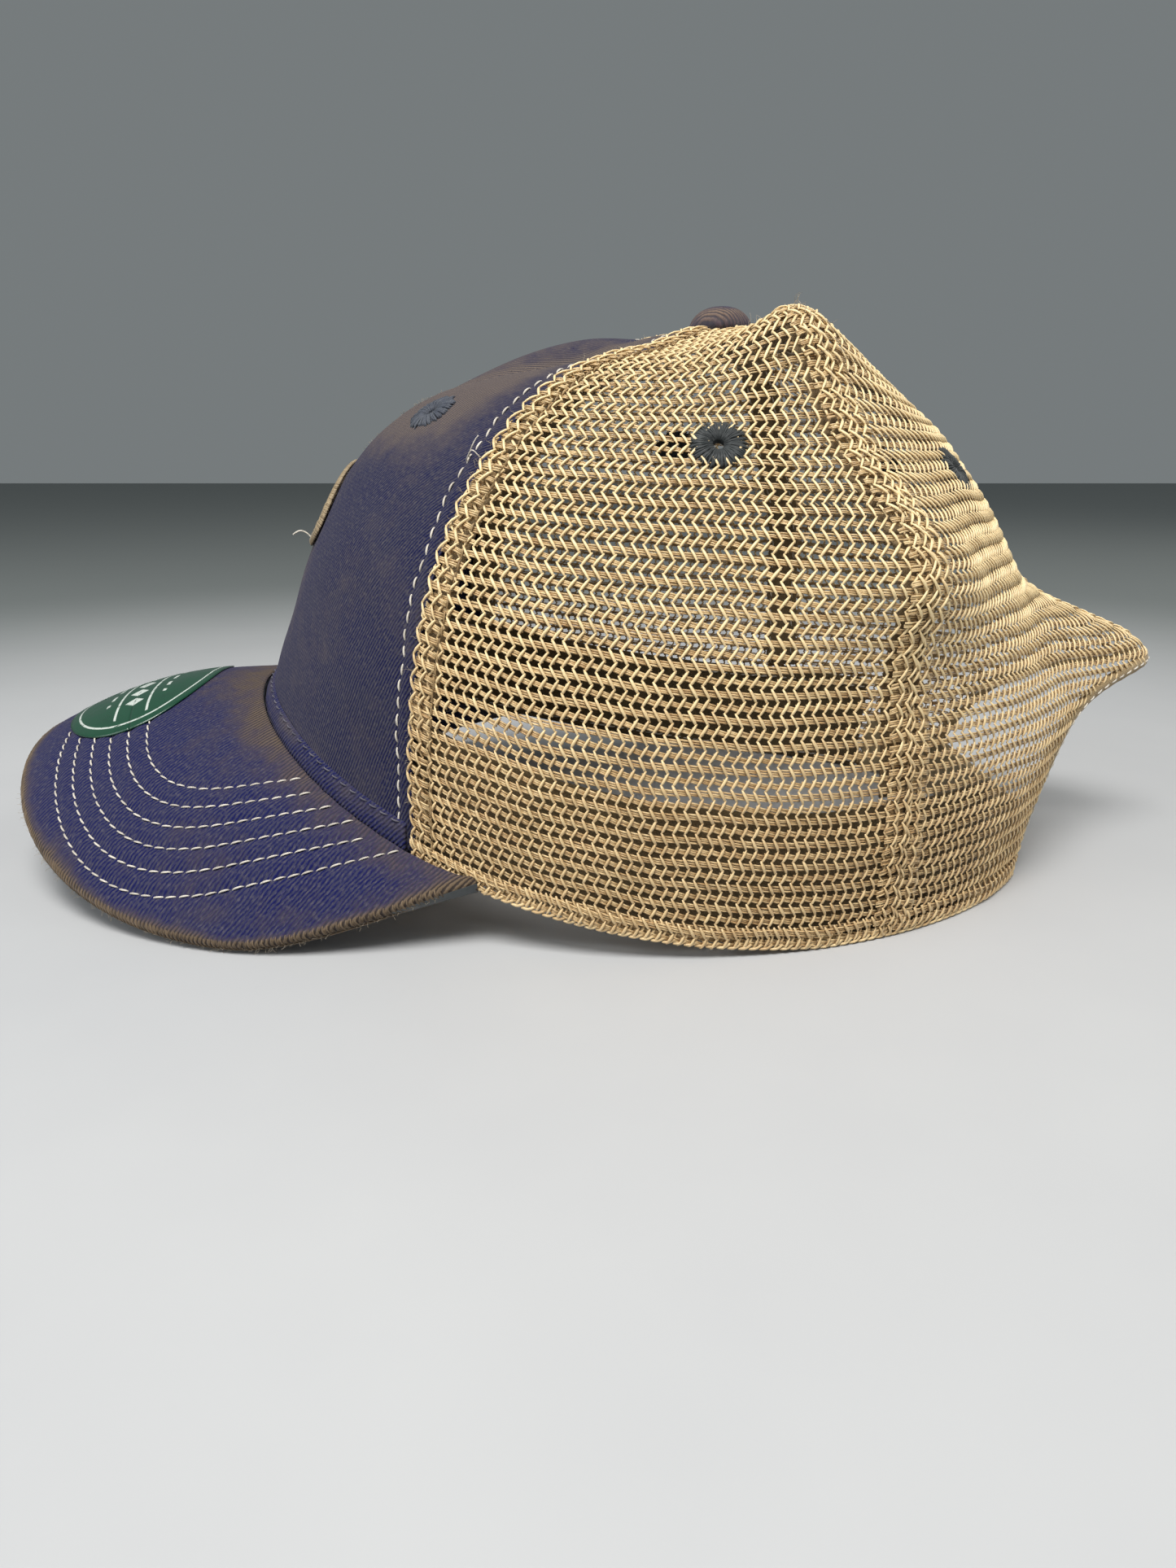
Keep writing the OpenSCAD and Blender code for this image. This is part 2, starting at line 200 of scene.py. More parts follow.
# ---------------------------------------------------------------- the brim's surface
def brim_mid(s, q):
    """Middle of the brim: s from -1 to 1 across, q from 0 at the crown to 1 at the rim."""
    s, q = floats(s, q)
    phi, a = s * BRIM_ANGLE, np.abs(s)
    root = vec(HALF_W * sind(phi), Y_SHIFT - FRONT_LEN * cosd(phi), hem_z(phi))
    side = np.maximum(sind(90 * a), 0)
    drop = BRIM_TIP_Z * np.maximum(sind(90 * np.minimum(a / BRIM_DIP, 1)), 0) ** 1.7
    lift = BRIM_TIP_Z / 2 * pow_pos((a - BRIM_DIP) / (1 - BRIM_DIP), 1.6)
    corner = (BRIM_HALF_W - HALF_W * sind(BRIM_ANGLE) - 3) * pow_pos((a - 0.72) / 0.28, 2)
    x = np.sign(s) * (BRIM_HALF_W * side ** 0.88 - corner)
    y = Y_SHIFT + BRIM_ROOT_Y - (BRIM_TIP + BRIM_ROOT_Y) * pow_pos(cosd(90 * s), 0.8)
    rim = vec(x, y, BRIM_TIP_Z - drop + lift)
    reach = norm(rim - root)
    w = (BRIM_GAP + q * (reach - BRIM_GAP)) / reach
    mid = root + (rim - root) * w[..., None]
    mid[..., 2] += 5 * sind(180 * w) * pow_pos(1 - a, 0.7) + FLOOR_LIFT
    return mid


def brim_normal(s, q):
    """Upward direction of the brim at (s, q)."""
    s, q = floats(s, q)
    h = 0.004
    across = brim_mid(np.clip(s + h, -1, 1), q) - brim_mid(np.clip(s - h, -1, 1), q)
    n = unit(np.cross(brim_mid(s, q - h) - brim_mid(s, q + h), across))
    return np.where(n[..., 2:] < 0, -n, n)


def brim_reach(s):
    return norm(brim_mid(s, 1.0) - brim_mid(s, 0.0))


def row_shape(level):
    """Half width, depth and squareness of a stitch row's outline; level 0 is the outermost row."""
    return (ROW_WIDE - ROW_WIDE_STEP * level, ROW_DEEP - ROW_DEEP_STEP * level,
            ROW_POWER + ROW_POWER_STEP * level)


def brim_row_level(points):
    """Which stitch row a point of the brim lies on, as a number that may fall between rows."""
    x = np.abs(points[..., 0]) + ROW_TAPER * np.maximum(points[..., 1] - ROW_CENTRE_Y, 0) ** 2
    y = np.maximum(ROW_CENTRE_Y - points[..., 1], 0)
    low, high = np.full(x.shape, -4.0), np.full(x.shape, 12.0)
    for _ in range(16):
        level = (low + high) / 2
        wide, deep, power = row_shape(level)
        inside = (x / wide) ** power + (y / deep) ** power < 1
        low, high = np.where(inside, level, low), np.where(inside, high, level)
    return (low + high) / 2


def brim_find(x, y):
    """The (s, q) whose middle point lies at (x, y) in plan: a coarse search, then Newton's method."""
    h = 0.002
    coarse_s, coarse_q = np.meshgrid(np.linspace(-0.98, 0.98, 99), np.linspace(0, 0.98, 50))
    plan = brim_mid(coarse_s, coarse_q)[..., :2].reshape(-1, 2)
    near = np.argmin((plan[:, 0] - x[:, None]) ** 2 + (plan[:, 1] - y[:, None]) ** 2, axis=1)
    s, q = coarse_s.ravel()[near], coarse_q.ravel()[near]
    for _ in range(8):
        here = brim_mid(s, q)
        ds = (brim_mid(s + h, q) - here) / h
        dq = (brim_mid(s, q + h) - here) / h
        ex, ey = x - here[..., 0], y - here[..., 1]
        det = ds[..., 0] * dq[..., 1] - ds[..., 1] * dq[..., 0]
        det = np.where(np.abs(det) < 1e-3, 1e-3, det)
        s = np.clip(s + np.clip((ex * dq[..., 1] - ey * dq[..., 0]) / det, -0.1, 0.1), -0.99, 0.99)
        q = np.clip(q + np.clip((ds[..., 0] * ey - ds[..., 1] * ex) / det, -0.2, 0.2), -0.3, 0.99)
    return s, q


# ---------------------------------------------------------------- mesh building
def new_object(name, data):
    made = bpy.data.objects.new(name, data)
    bpy.context.scene.collection.objects.link(made)
    return made


def rings(radii, columns):
    """Radius, angle in degrees, x and y over a grid of full rings."""
    r, turn = np.meshgrid(radii, np.linspace(0, 360, columns), indexing="ij")
    return r, turn, r * cosd(turn), r * sind(turn)


def grid_quads(rows, cols, wrap=False):
    """Corner numbers of the quads of a rows x cols grid of points."""
    i = np.arange(rows - 1)[:, None] * cols
    j = np.arange(cols if wrap else cols - 1)[None, :]
    k = (j + 1) % cols
    return vec(i + j, i + k, i + cols + k, i + cols + j).reshape(-1, 4)


class Piece:
    """Points and quads gathered for one object, with a flat cloth position in mm for each corner."""

    def __init__(self):
        self.points, self.quads, self.flat, self.wear, self.tint = [], [], [], [], []
        self.count = 0

    def add(self, points, quads, flat, wear, tint):
        self.points.append(points)
        self.quads.append(quads + self.count)
        self.flat.append(flat)
        self.wear.append(wear)
        self.tint.append(tint)
        self.count += len(points)

    def slab(self, outer, inner, flat, wear=0.0, tint=0.0, keep=None):
        """A closed sheet of cloth between two grids of points. flat is (rows, cols, 2)."""
        rows, cols = outer.shape[:2]
        half = rows * cols
        top = grid_quads(rows, cols)
        middle = (rows // 2, cols // 2)
        face_up = np.cross(outer[middle[0], middle[1] + 1] - outer[middle],
                           outer[middle[0] + 1, middle[1]] - outer[middle])
        index = np.arange(half).reshape(rows, cols)
        rim = np.concatenate([index[0], index[1:, -1], index[-1, -2::-1], index[-2::-1, 0]])
        a, b = rim[:-1], rim[1:]
        if keep is not None:
            top = top[keep.reshape(-1)]
        quads = np.concatenate([top, top[:, ::-1] + half, vec(b, a, a + half, b + half)])
        if np.dot(face_up, outer[middle] - inner[middle]) < 0:
            quads = quads[:, ::-1]
        both = np.concatenate([outer.reshape(-1, 3), inner.reshape(-1, 3)])
        flats = np.tile(flat.reshape(-1, 2), (2, 1))

        def on_both(value):
            return np.tile(np.broadcast_to(value, (rows, cols)).reshape(-1), 2)
        self.add(both, quads, flats[quads], on_both(wear), on_both(tint))

    def tubes(self, path, normal, across, outward, sides=6, wear=0.0, tint=0.0):
        """Closed threads along paths (threads, points, 3), with radii along and off the cloth."""
        threads, points = path.shape[:2]
        along = unit(np.gradient(path, axis=1))
        side = unit(np.cross(normal, along))
        up = np.cross(along, side)
        turn = np.arange(sides) * 2 * math.pi / sides
        across = np.broadcast_to(across, (threads, points))[..., None, None]
        outward = np.broadcast_to(outward, (threads, points))[..., None, None]
        ring = path[:, :, None] + side[:, :, None] * np.cos(turn)[:, None] * across
        ring = ring + up[:, :, None] * np.sin(turn)[:, None] * outward
        wall = grid_quads(points, sides, wrap=True)
        fan = np.array([[0, i, i + 1, i + 2] for i in range(1, sides - 1, 2)])
        one = np.concatenate([wall, fan[:, ::-1], fan + (points - 1) * sides])
        quads = (one[None] + np.arange(threads)[:, None, None] * points * sides).reshape(-1, 4)
        run = arc_lengths(path, 1)
        column = np.tile(np.arange(sides), points - 1)
        v = vec(column, column + 1, column + 1, column) / sides
        v = np.concatenate([v, np.zeros((2 * len(fan), 4))])
        u = np.repeat(run, sides, axis=1).reshape(threads, -1)[:, one]
        flat = vec(u, np.broadcast_to(v, u.shape)).reshape(-1, 4, 2)

        def on_rings(value):
            return np.repeat(np.broadcast_to(value, (threads, points)), sides, axis=1).reshape(-1)
        self.add(ring.reshape(-1, 3), quads, flat, on_rings(wear), on_rings(tint))

    def make(self, name, material, slot, body="crown", stands_for=()):
        """The Blender object, riding on its body and standing for the CAD nodes it replaces."""
        points, quads = np.concatenate(self.points) * MM, np.concatenate(self.quads)
        mesh = bpy.data.meshes.new(name)
        mesh.vertices.add(len(points))
        mesh.vertices.foreach_set("co", points.ravel())
        mesh.loops.add(quads.size)
        mesh.loops.foreach_set("vertex_index", quads.ravel())
        mesh.polygons.add(len(quads))
        mesh.polygons.foreach_set("loop_start", np.arange(0, quads.size, 4))
        mesh.polygons.foreach_set("use_smooth", np.ones(len(quads), bool))
        mesh.update(calc_edges=True)
        layer = mesh.uv_layers.new(name="cloth")
        layer.data.foreach_set("uv", np.concatenate(self.flat).ravel())
        for label, values in (("wear", self.wear), ("tint", self.tint)):
            attribute = mesh.attributes.new(label, "FLOAT", "POINT")
            attribute.data.foreach_set("value", np.concatenate(values).astype(np.float32))
        mesh.materials.append(material)
        piece = new_object(name, mesh)
        if body:
            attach(piece, body)
        if stands_for:
            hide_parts(*stands_for)
        return piece


def per_thread(threads, low=-1.0, high=1.0):
    """A random number for each thread, ready to spread along its points."""
    return random.uniform(low, high, (len(threads), 1))


def along_curve(points, distances, values=None):
    """Values, or the points themselves, at the given distances along a polyline."""
    run = arc_lengths(points, 0)
    values = points if values is None else values
    return vec(*(np.interp(distances, run, values[:, k]) for k in range(3)))


def add_stitches(piece, points, normals, pitch=STITCH_PITCH, length=STITCH_LENGTH, radius=THREAD_R):
    """A row of lockstitches along a curve: short threads that rise from the cloth and dive back."""
    total = arc_lengths(points, 0)[-1]
    first = np.arange(0.4, total - length, pitch)
    first = first + random.uniform(-0.08, 0.08, len(first))
    w = np.linspace(0, 1, 7)
    at = first[:, None] + w[None] * length * per_thread(first, 0.94, 1.04)
    path = along_curve(points, at.ravel()).reshape(len(first), 7, 3)
    normal = unit(along_curve(points, at.ravel(), normals).reshape(path.shape))
    side = unit(np.cross(normal, np.gradient(path, axis=1)))
    arch = np.sin(np.pi * w) ** 0.55
    lean = (w - 0.5) * 0.28 + per_thread(first, -0.07, 0.07)
    path = path + normal * ((radius + 0.06) * arch - STITCH_SINK * (1 - arch) - 0.1)[None, :, None]
    path = path + side * lean[..., None]
    thick = radius * (0.55 + 0.45 * arch)
    piece.tubes(path, normal, thick, thick * 0.9, tint=per_thread(first))


def crown_stitches(piece, phi, t, lift, face=1, **sizes):
    """A stitch row along (phi, t), lift mm off the crown's outer face; face is -1 for an inside row."""
    normal = crown_normal(phi, t)
    add_stitches(piece, crown_pt(phi, t) + normal * lift, normal * face, **sizes)


def waves(x, y, size, seed):
    """Smooth, repeatable unevenness between about -1 and 1 over a flat position in mm."""
    total = 0.0
    for k in range(4):
        turn = seed * 1.7 + k * 2.4
        step = 2 * math.pi / (size * (1.6 - 0.3 * k))
        total = total + np.sin((x * math.cos(turn) + y * math.sin(turn)) * step + seed * 5.1 + k * 1.3)
    return total / 2.6


# ---------------------------------------------------------------- materials
def srgb(r, g, b):
    """A display colour, 0 to 255, as the linear colour that a shader takes."""
    return tuple(c / 3294.6 if c <= 10.3 else ((c / 255 + 0.055) / 1.055) ** 2.4
                 for c in (r, g, b)) + (1.0,)


class Shader:
    """A procedural material: a Principled shader and the nodes that drive it."""

    def __init__(self, name, **sockets):
        self.material = bpy.data.materials.new(name)
        self.material.use_nodes = True
        self.tree = self.material.node_tree
        self.main = self.tree.nodes["Principled BSDF"]
        for socket, value in sockets.items():
            self.put(self.main.inputs[socket.replace("_", " ")], value)

    def put(self, socket, value):
        if isinstance(value, bpy.types.NodeSocket):
            self.tree.links.new(value, socket)
        else:
            socket.default_value = value

    def node(self, kind, output=0, settings=None, **inputs):
        node = self.tree.nodes.new(kind)
        for key, value in (settings or {}).items():
            setattr(node, key, value)
        for socket, value in inputs.items():
            key = int(socket[1:]) if socket[0] == "n" and socket[1:].isdigit() else socket
            self.put(node.inputs[key], value)
        return node.outputs[output]

    def calc(self, operation, a, b=0.0, c=0.0, clamp=False):
        return self.node("ShaderNodeMath", settings={"operation": operation, "use_clamp": clamp},
                         n0=a, n1=b, n2=c)

    def add(self, a, b):
        return self.calc("ADD", a, b)

    def sub(self, a, b, clamp=False):
        return self.calc("SUBTRACT", a, b, clamp=clamp)

    def mul(self, a, b, clamp=False):
        return self.calc("MULTIPLY", a, b, clamp=clamp)

    def mad(self, a, b, c, clamp=False):
        """a times b, plus c."""
        return self.calc("MULTIPLY_ADD", a, b, c, clamp)

    def vary(self, base, noise, amount, clamp=False):
        """base pushed up and down by a noise whose middle is 0.5."""
        return self.mad(self.sub(noise, 0.5), amount, base, clamp)

    def flat(self):
        """The cloth's own flat position, in mm."""
        return self.node("ShaderNodeUVMap", settings={"uv_map": "cloth"})

    def solid(self):
        """The place in the object, in mm."""
        place = self.node("ShaderNodeTexCoord", output=3)
        return self.node("ShaderNodeVectorMath", settings={"operation": "SCALE"}, n0=place,
                         Scale=1 / MM)

    def split(self, vector):
        node = self.tree.nodes.new("ShaderNodeSeparateXYZ")
        self.put(node.inputs[0], vector)
        return node.outputs[0], node.outputs[1], node.outputs[2]

    def join(self, x, y, z=0.0):
        return self.node("ShaderNodeCombineXYZ", n0=x, n1=y, n2=z)

    def noise(self, vector, size, detail=3.0):
        """Noise from 0 to 1 whose patches are about the given size in mm."""
        return self.node("ShaderNodeTexNoise", Vector=vector, Scale=1.0 / size, Detail=detail,
                         Roughness=0.55)

    def ease(self, value, low, high, to_low=0.0, to_high=1.0):
        """Smooth step of a value from to_low at low to to_high at high."""
        return self.node("ShaderNodeMapRange", settings={"interpolation_type": "SMOOTHSTEP"},
                         n0=value, n1=low, n2=high, n3=to_low, n4=to_high)

    def blend(self, share, low, high):
        node = self.tree.nodes.new("ShaderNodeMix")
        node.data_type = "RGBA"
        self.put(node.inputs[0], share)
        self.put(node.inputs[6], low)
        self.put(node.inputs[7], high)
        return node.outputs[2]

    def value(self, name):
        """One of the numbers kept at the mesh's points: wear or tint."""
        return self.node("ShaderNodeAttribute", output=2, settings={"attribute_name": name})

    def relief(self, height, depth):
        """Bump of a height from 0 to 1 that stands depth mm deep."""
        return self.node("ShaderNodeBump", Strength=1.0, Distance=depth * MM, Height=height)

    def finish(self, colour=None, roughness=None, normal=None):
        for socket, value in (("Base Color", colour), ("Roughness", roughness), ("Normal", normal)):
            if value is not None:
                self.put(self.main.inputs[socket], value)
        return self.material


def twill(name, rib, valley, worn_rib, worn_valley, pale_fleck, pitch=0.95, lean=77.0, depth=0.16,
          patches=0.55):
    """Washed twill: leaning ribs of short yarn floats, faded in patches and worn where wear is 1."""
    s = Shader(name, Roughness=0.9, Sheen_Weight=0.12, Sheen_Roughness=0.45,
               Sheen_Tint=srgb(196, 190, 205), Specular_IOR_Level=0.2)
    flat = s.flat()
    x, y, _ = s.split(flat)
    waver = s.mad(s.noise(flat, 7.0, 2.0), 1.1, -0.55)
    cut, run = float(cosd(lean)), float(sind(lean))
    across = s.sub(s.mul(y, cut), s.mul(x, run))
    along = s.add(s.mul(x, cut), s.mul(y, run))
    turns = s.add(s.calc("DIVIDE", across, pitch), waver)
    ridge = s.mad(s.calc("COSINE", s.mul(turns, 2 * math.pi)), 0.5, 0.5)
    step = s.mul(s.calc("FLOOR", turns), 0.37)
    float_at = s.calc("FRACT", s.add(s.calc("DIVIDE", along, pitch * 1.25), step))
    yarn = s.calc("SINE", s.mul(float_at, math.pi))
    height = s.mul(ridge, s.mad(yarn, 0.45, 0.55))
    height = s.vary(height, s.noise(flat, 0.35, 4.0), 0.35)
    share = s.ease(height, 0.2, 0.66)
    fade = s.mul(s.ease(s.noise(flat, 11.0, 4.0), 0.38, 0.68), patches)
    fleck = s.mul(s.ease(s.noise(flat, 0.9), 0.52, 0.75), 0.5)
    slub = s.noise(s.join(s.mul(across, 0.9), s.mul(along, 0.45)), 0.5)
    new = s.blend(share, valley, rib)
    new = s.blend(fade, new, s.blend(0.5, new, valley))
    new = s.blend(fleck, new, s.blend(0.7, new, valley))
    new = s.blend(s.ease(slub, 0.5, 0.72, 0.0, 0.42), new, pale_fleck)
    new = s.blend(s.ease(slub, 0.5, 0.3, 0.0, 0.5), new, rib)
    haze = s.mul(s.ease(s.noise(flat, 34.0), 0.42, 0.66), 0.24)
    worn = s.calc("MAXIMUM", s.value("wear"), haze)
    rub = s.vary(worn, s.noise(flat, 4.5, 4.0), 0.7)
    rub = s.mul(s.ease(rub, 0.06, 0.95), s.ease(worn, 0.0, 0.12), clamp=True)
    rubbed = s.blend(s.ease(height, 0.1, 0.6), worn_valley, worn_rib)
    colour = s.blend(rub, new, rubbed)
    return s.finish(colour, s.ease(height, 0.0, 1.0, 0.97, 0.84), s.relief(height, depth))


def yarn(name, deep, pale, glossy, twist=3.0, lay=0.55, browning_colour=None):
    """Twisted thread: colour changes from thread to thread, with fine filaments along it."""
    s = Shader(name, Roughness=glossy, Sheen_Weight=0.15, Sheen_Roughness=0.4, Specular_IOR_Level=0.5)
    flat = s.flat()
    u, v, _ = s.split(flat)
    turn = s.add(s.mul(u, lay), s.mul(v, twist))
    strand = s.mad(s.calc("SINE", s.mul(turn, 2 * math.pi)), 0.5, 0.5)
    hair = s.noise(s.join(s.mul(u, 0.12), s.mul(v, 1.6)), 0.22, 3.0)
    height = s.mad(hair, 0.5, s.mul(strand, 0.5))
    place = s.noise(s.solid(), 5.0)
    # Each thread's tint number sets its shade; on the knit the tint also carries painted light: paler,
    # highlighted bars and darker, shaded filaments
    share = s.mad(s.value("tint"), 0.27, s.mad(place, 0.6, 0.2))
    share = s.vary(share, height, 0.4, clamp=True)
    colour = s.blend(share, deep, pale)
    # The wear number mixes in the browning colour; on the mesh yarn it is high only lower down on the
    # crown, which makes the knit darker and browner there
    if browning_colour:
        colour = s.blend(s.mul(s.value("wear"), 0.85, clamp=True), colour, browning_colour)
    rough = s.ease(hair, 0.25, 0.8, glossy + 0.12, glossy - 0.1)
    return s.finish(colour, rough, s.relief(height, 0.07))


def tape(name, deep, pale, pitch=0.8, depth=0.12):
    """Plain woven cotton, as in a sweatband, seam tape or binding."""
    s = Shader(name, Roughness=0.88, Sheen_Weight=0.2, Specular_IOR_Level=0.2)
    flat = s.flat()
    x, y, _ = s.split(flat)
    warp = s.calc("SINE", s.mul(x, 2 * math.pi / pitch))
    weft = s.calc("SINE", s.mul(y, 2 * math.pi / pitch))
    height = s.mad(s.mul(warp, weft), 0.4, 0.5)
    height = s.vary(height, s.noise(flat, 0.4), 0.5)
    share = s.mad(s.noise(flat, 8.0, 4.0), 0.8, s.mul(height, 0.4))
    colour = s.blend(s.sub(share, 0.1, clamp=True), deep, pale)
    colour = s.blend(s.mul(s.value("wear"), 0.5, clamp=True), colour, srgb(96, 82, 64))
    return s.finish(colour, s.ease(height, 0.0, 1.0, 0.95, 0.82), s.relief(height, depth))


def moulded(name, deep, pale, rough=0.42, metallic=0.0):
    """Moulded plastic or painted metal with a fine grain, handling marks and dust."""
    s = Shader(name, Roughness=rough, Metallic=metallic, Specular_IOR_Level=0.5, Coat_Weight=0.08,
               Coat_Roughness=0.4)
    place = s.solid()
    fine, broad = s.noise(place, 0.9, 4.0), s.noise(place, 9.0)
    x, y, z = s.split(place)
    marks = s.noise(s.join(s.mul(x, 0.25), y, s.mul(z, 3.0)), 0.5, 2.0)
    scratch = s.ease(marks, 0.62, 0.7)
    colour = s.blend(s.ease(broad, 0.3, 0.7), deep, pale)
    colour = s.blend(s.mul(scratch, 0.2), colour, pale)
    roughness = s.add(s.ease(fine, 0.3, 0.7, rough - 0.08, rough + 0.1),
                       s.mul(scratch, 0.15))
    return s.finish(colour, roughness, s.relief(fine, 0.03))


def printed_film(name, field, ink):
    """The sticker's glossy film: a ring, two rules, lozenges and dashes in ink on one colour."""
    s = Shader(name, Roughness=0.3, Specular_IOR_Level=0.5, Coat_Weight=0.3, Coat_Roughness=0.2)
    flat = s.flat()
    x, y, _ = s.split(flat)
    around = s.calc("SQRT", s.add(s.calc("POWER", s.calc("DIVIDE", x, STICKER_HALF_W), 2.0),
                                  s.calc("POWER", s.calc("DIVIDE", y, STICKER_HALF_D), 2.0)))

    def band(value, middle, half, soft=0.12):
        away = s.calc("ABSOLUTE", s.sub(value, middle))
        return s.ease(away, half + soft, half - soft)

    inside = s.ease(around, 0.80, 0.78)
    rules = s.calc("MAXIMUM", band(y, 4.4, 0.35), band(y, -4.4, 0.35))
    repeat = s.calc("ABSOLUTE", s.sub(s.calc("FRACT", s.calc("DIVIDE", x, 6.0)), 0.5))
    lozenge = s.add(s.mul(repeat, 6.0), s.mul(s.calc("ABSOLUTE", y), 0.9))
    lozenge = s.mul(s.ease(lozenge, 2.5, 2.2), band(x, 0.0, 18.0))
    dashes = s.ease(s.calc("SINE", s.mul(x, 1.1)), -0.2, 0.1)
    lines = s.add(band(y, 8.0, 0.5), band(y, -8.0, 0.5))
    lines = s.mul(s.mul(lines, dashes), band(x, 0.0, 13.0))
    marks = s.mul(s.calc("MAXIMUM", s.calc("MAXIMUM", rules, lozenge), lines), inside)
    ring = band(around, 0.88, 0.012, 0.006)
    worn = s.ease(s.noise(flat, 1.4, 4.0), 0.30, 0.46)
    ink_share = s.mul(s.calc("MAXIMUM", marks, ring), worn, clamp=True)
    cloudy = s.noise(flat, 6.0)
    base = s.blend(s.mul(cloudy, 0.6), field, srgb(24, 84, 58))
    fine = s.noise(flat, 0.6)
    height = s.add(s.mul(ink_share, 0.4), s.mul(fine, 0.6))
    return s.finish(s.blend(ink_share, base, ink), s.ease(cloudy, 0.3, 0.7, 0.24, 0.4),
                    s.relief(height, 0.03))


INDIGO = dict(rib=srgb(8, 13, 66), valley=srgb(61, 61, 74), pale_fleck=srgb(104, 98, 96))
BRIGHT_INDIGO = dict(rib=srgb(6, 13, 78), valley=srgb(57, 58, 80), pale_fleck=srgb(106, 101, 106))
CROWN_TWILL = twill("crown twill", worn_rib=srgb(112, 99, 90), worn_valley=srgb(62, 58, 66),
                    pitch=0.74, lean=77.0, **INDIGO)
BRIM_TWILL = twill("brim twill", worn_rib=srgb(108, 92, 74), worn_valley=srgb(58, 50, 46),
                   pitch=0.98, lean=-45.0, depth=0.2, patches=0.4, **BRIGHT_INDIGO)
STRIP_TWILL = twill("strip twill", worn_rib=srgb(104, 94, 88), worn_valley=srgb(66, 60, 64),
                    pitch=1.0, lean=72.0, depth=0.24, **BRIGHT_INDIGO)
BUTTON_TWILL = twill("button twill", worn_rib=srgb(128, 108, 92), worn_valley=srgb(74, 66, 66),
                     pitch=0.9, lean=60.0, **INDIGO)
# browning_colour is the darker, browner colour that the knit takes lower down
MESH_YARN = yarn("mesh yarn", srgb(152, 107, 52), srgb(252, 226, 174), glossy=0.3, twist=1.0,
                 lay=0.06, browning_colour=srgb(172, 127, 78))
SEAM_THREAD = yarn("seam thread", srgb(178, 170, 158), srgb(236, 228, 214), glossy=0.5)
STRIP_THREAD = yarn("strip thread", srgb(58, 58, 76), srgb(112, 108, 118), glossy=0.6)
EYELET_THREAD = yarn("eyelet thread", srgb(20, 24, 26), srgb(58, 63, 64), glossy=0.6)
FADED_EYELET = yarn("faded eyelet thread", srgb(44, 50, 66), srgb(84, 88, 96), glossy=0.6)
TAN_THREAD = yarn("embroidery thread", srgb(116, 96, 70), srgb(180, 160, 126), glossy=0.45)
FUZZ = yarn("stray fibre", srgb(130, 114, 92), srgb(200, 186, 164), glossy=0.6, twist=1.0)
RUBBED_RIB = yarn("rubbed rib", srgb(70, 58, 46), srgb(128, 108, 84), glossy=0.8, twist=2.0)
MESH_SEAM = yarn("mesh seam thread", srgb(112, 88, 56), srgb(190, 160, 114), glossy=0.5)
EMBLEM_GROUND = tape("emblem ground", srgb(92, 74, 54), srgb(132, 112, 82), pitch=0.5, depth=0.15)
SWEAT_CLOTH = tape("sweatband cotton", srgb(84, 70, 48), srgb(130, 112, 80))
SEAM_TAPE = tape("seam tape cotton", srgb(112, 94, 68), srgb(168, 146, 110), pitch=0.7)
BINDING = tape("binding cotton", srgb(124, 102, 70), srgb(188, 162, 120), pitch=0.7)
FILM = printed_film("sticker film", srgb(10, 58, 38), srgb(206, 214, 206))
SNAP = moulded("snap strap plastic", srgb(134, 116, 86), srgb(178, 158, 122))
BOARD = moulded("brim board plastic", srgb(62, 66, 68), srgb(86, 88, 88), rough=0.6)
METAL = moulded("button metal", srgb(110, 110, 108), srgb(150, 150, 146), rough=0.38, metallic=0.9)


# ---------------------------------------------------------------- twill panels, brim and button
def off_eyelet(points, place, side):
    """How far points are from the middle of one eyelet."""
    phi, t = EYELETS[place]
    return norm(points - crown_pt(side * phi, t))


def twill_front(side, side_name):
    """One front panel: twill with a sunk centre seam between two soft lips, rubbed along its ridge."""
    x = np.linspace(0, 1, 104)
    share = 0.35 * x + 0.65 * (0.5 - 0.5 * np.cos(math.pi * x))
    columns = SEAM_FRONT * share if side > 0 else -SEAM_FRONT * share[::-1]
    phi, t = np.meshgrid(columns, np.linspace(0, PANEL_TOP, 116))
    points = crown_pt(phi, t)
    across, up = arc_lengths(points, 1), arc_lengths(points, 0)
    across = across if side > 0 else across - across[:, -1:]
    centre = np.abs(across)
    edge = centre.max(1, keepdims=True) - centre
    lift = 0.22 * waves(across, up, 26, 1 + side) * np.clip(edge / 12, 0, 1)
    lift = lift + 0.35 * bell(centre - 2.0, 1.4) - 0.45 * bell(centre, 0.6)
    lift = lift - 0.24 * bell(edge - TOPSTITCH_IN, 0.8) + 0.14 * bell(edge - 2.4, 0.9)
    lift = lift - 0.5 * bell(edge, 1.0)
    high = np.clip((t - 0.2) / 0.35, 0, 1)
    wear = (0.95 * bell(centre, 5) + 0.35 * bell(centre, 24) + 0.5 * bell(centre, 42)) * high
    wear = wear + np.clip((t - 0.46) / 0.26, 0, 1) + 0.25 * waves(across, up, 46, 3)
    wear = wear + 0.35 * bell(edge - TOPSTITCH_IN, 1.0) * bell(t - 0.75, 0.5)
    if side < 0:
        wear = wear * (1 - 0.7 * np.clip((centre - 3) / 6, 0, 1))
    wear = np.clip(wear * np.clip(edge / 16, 0.25, 1) + 0.05, 0, 1)
    piece = Piece()
    keep = off_eyelet((points[:-1, :-1] + points[1:, 1:]) / 2, "front", side) > EYELET_CUT_TWILL
    piece.slab(crown_at(phi, t, lift), crown_at(phi, t, lift - TWILL_T), vec(across, up),
               wear, keep=keep)
    return piece.make("twill_front_" + side_name, CROWN_TWILL, "indigo_twill",
                      stands_for=["front_panel_" + side_name])


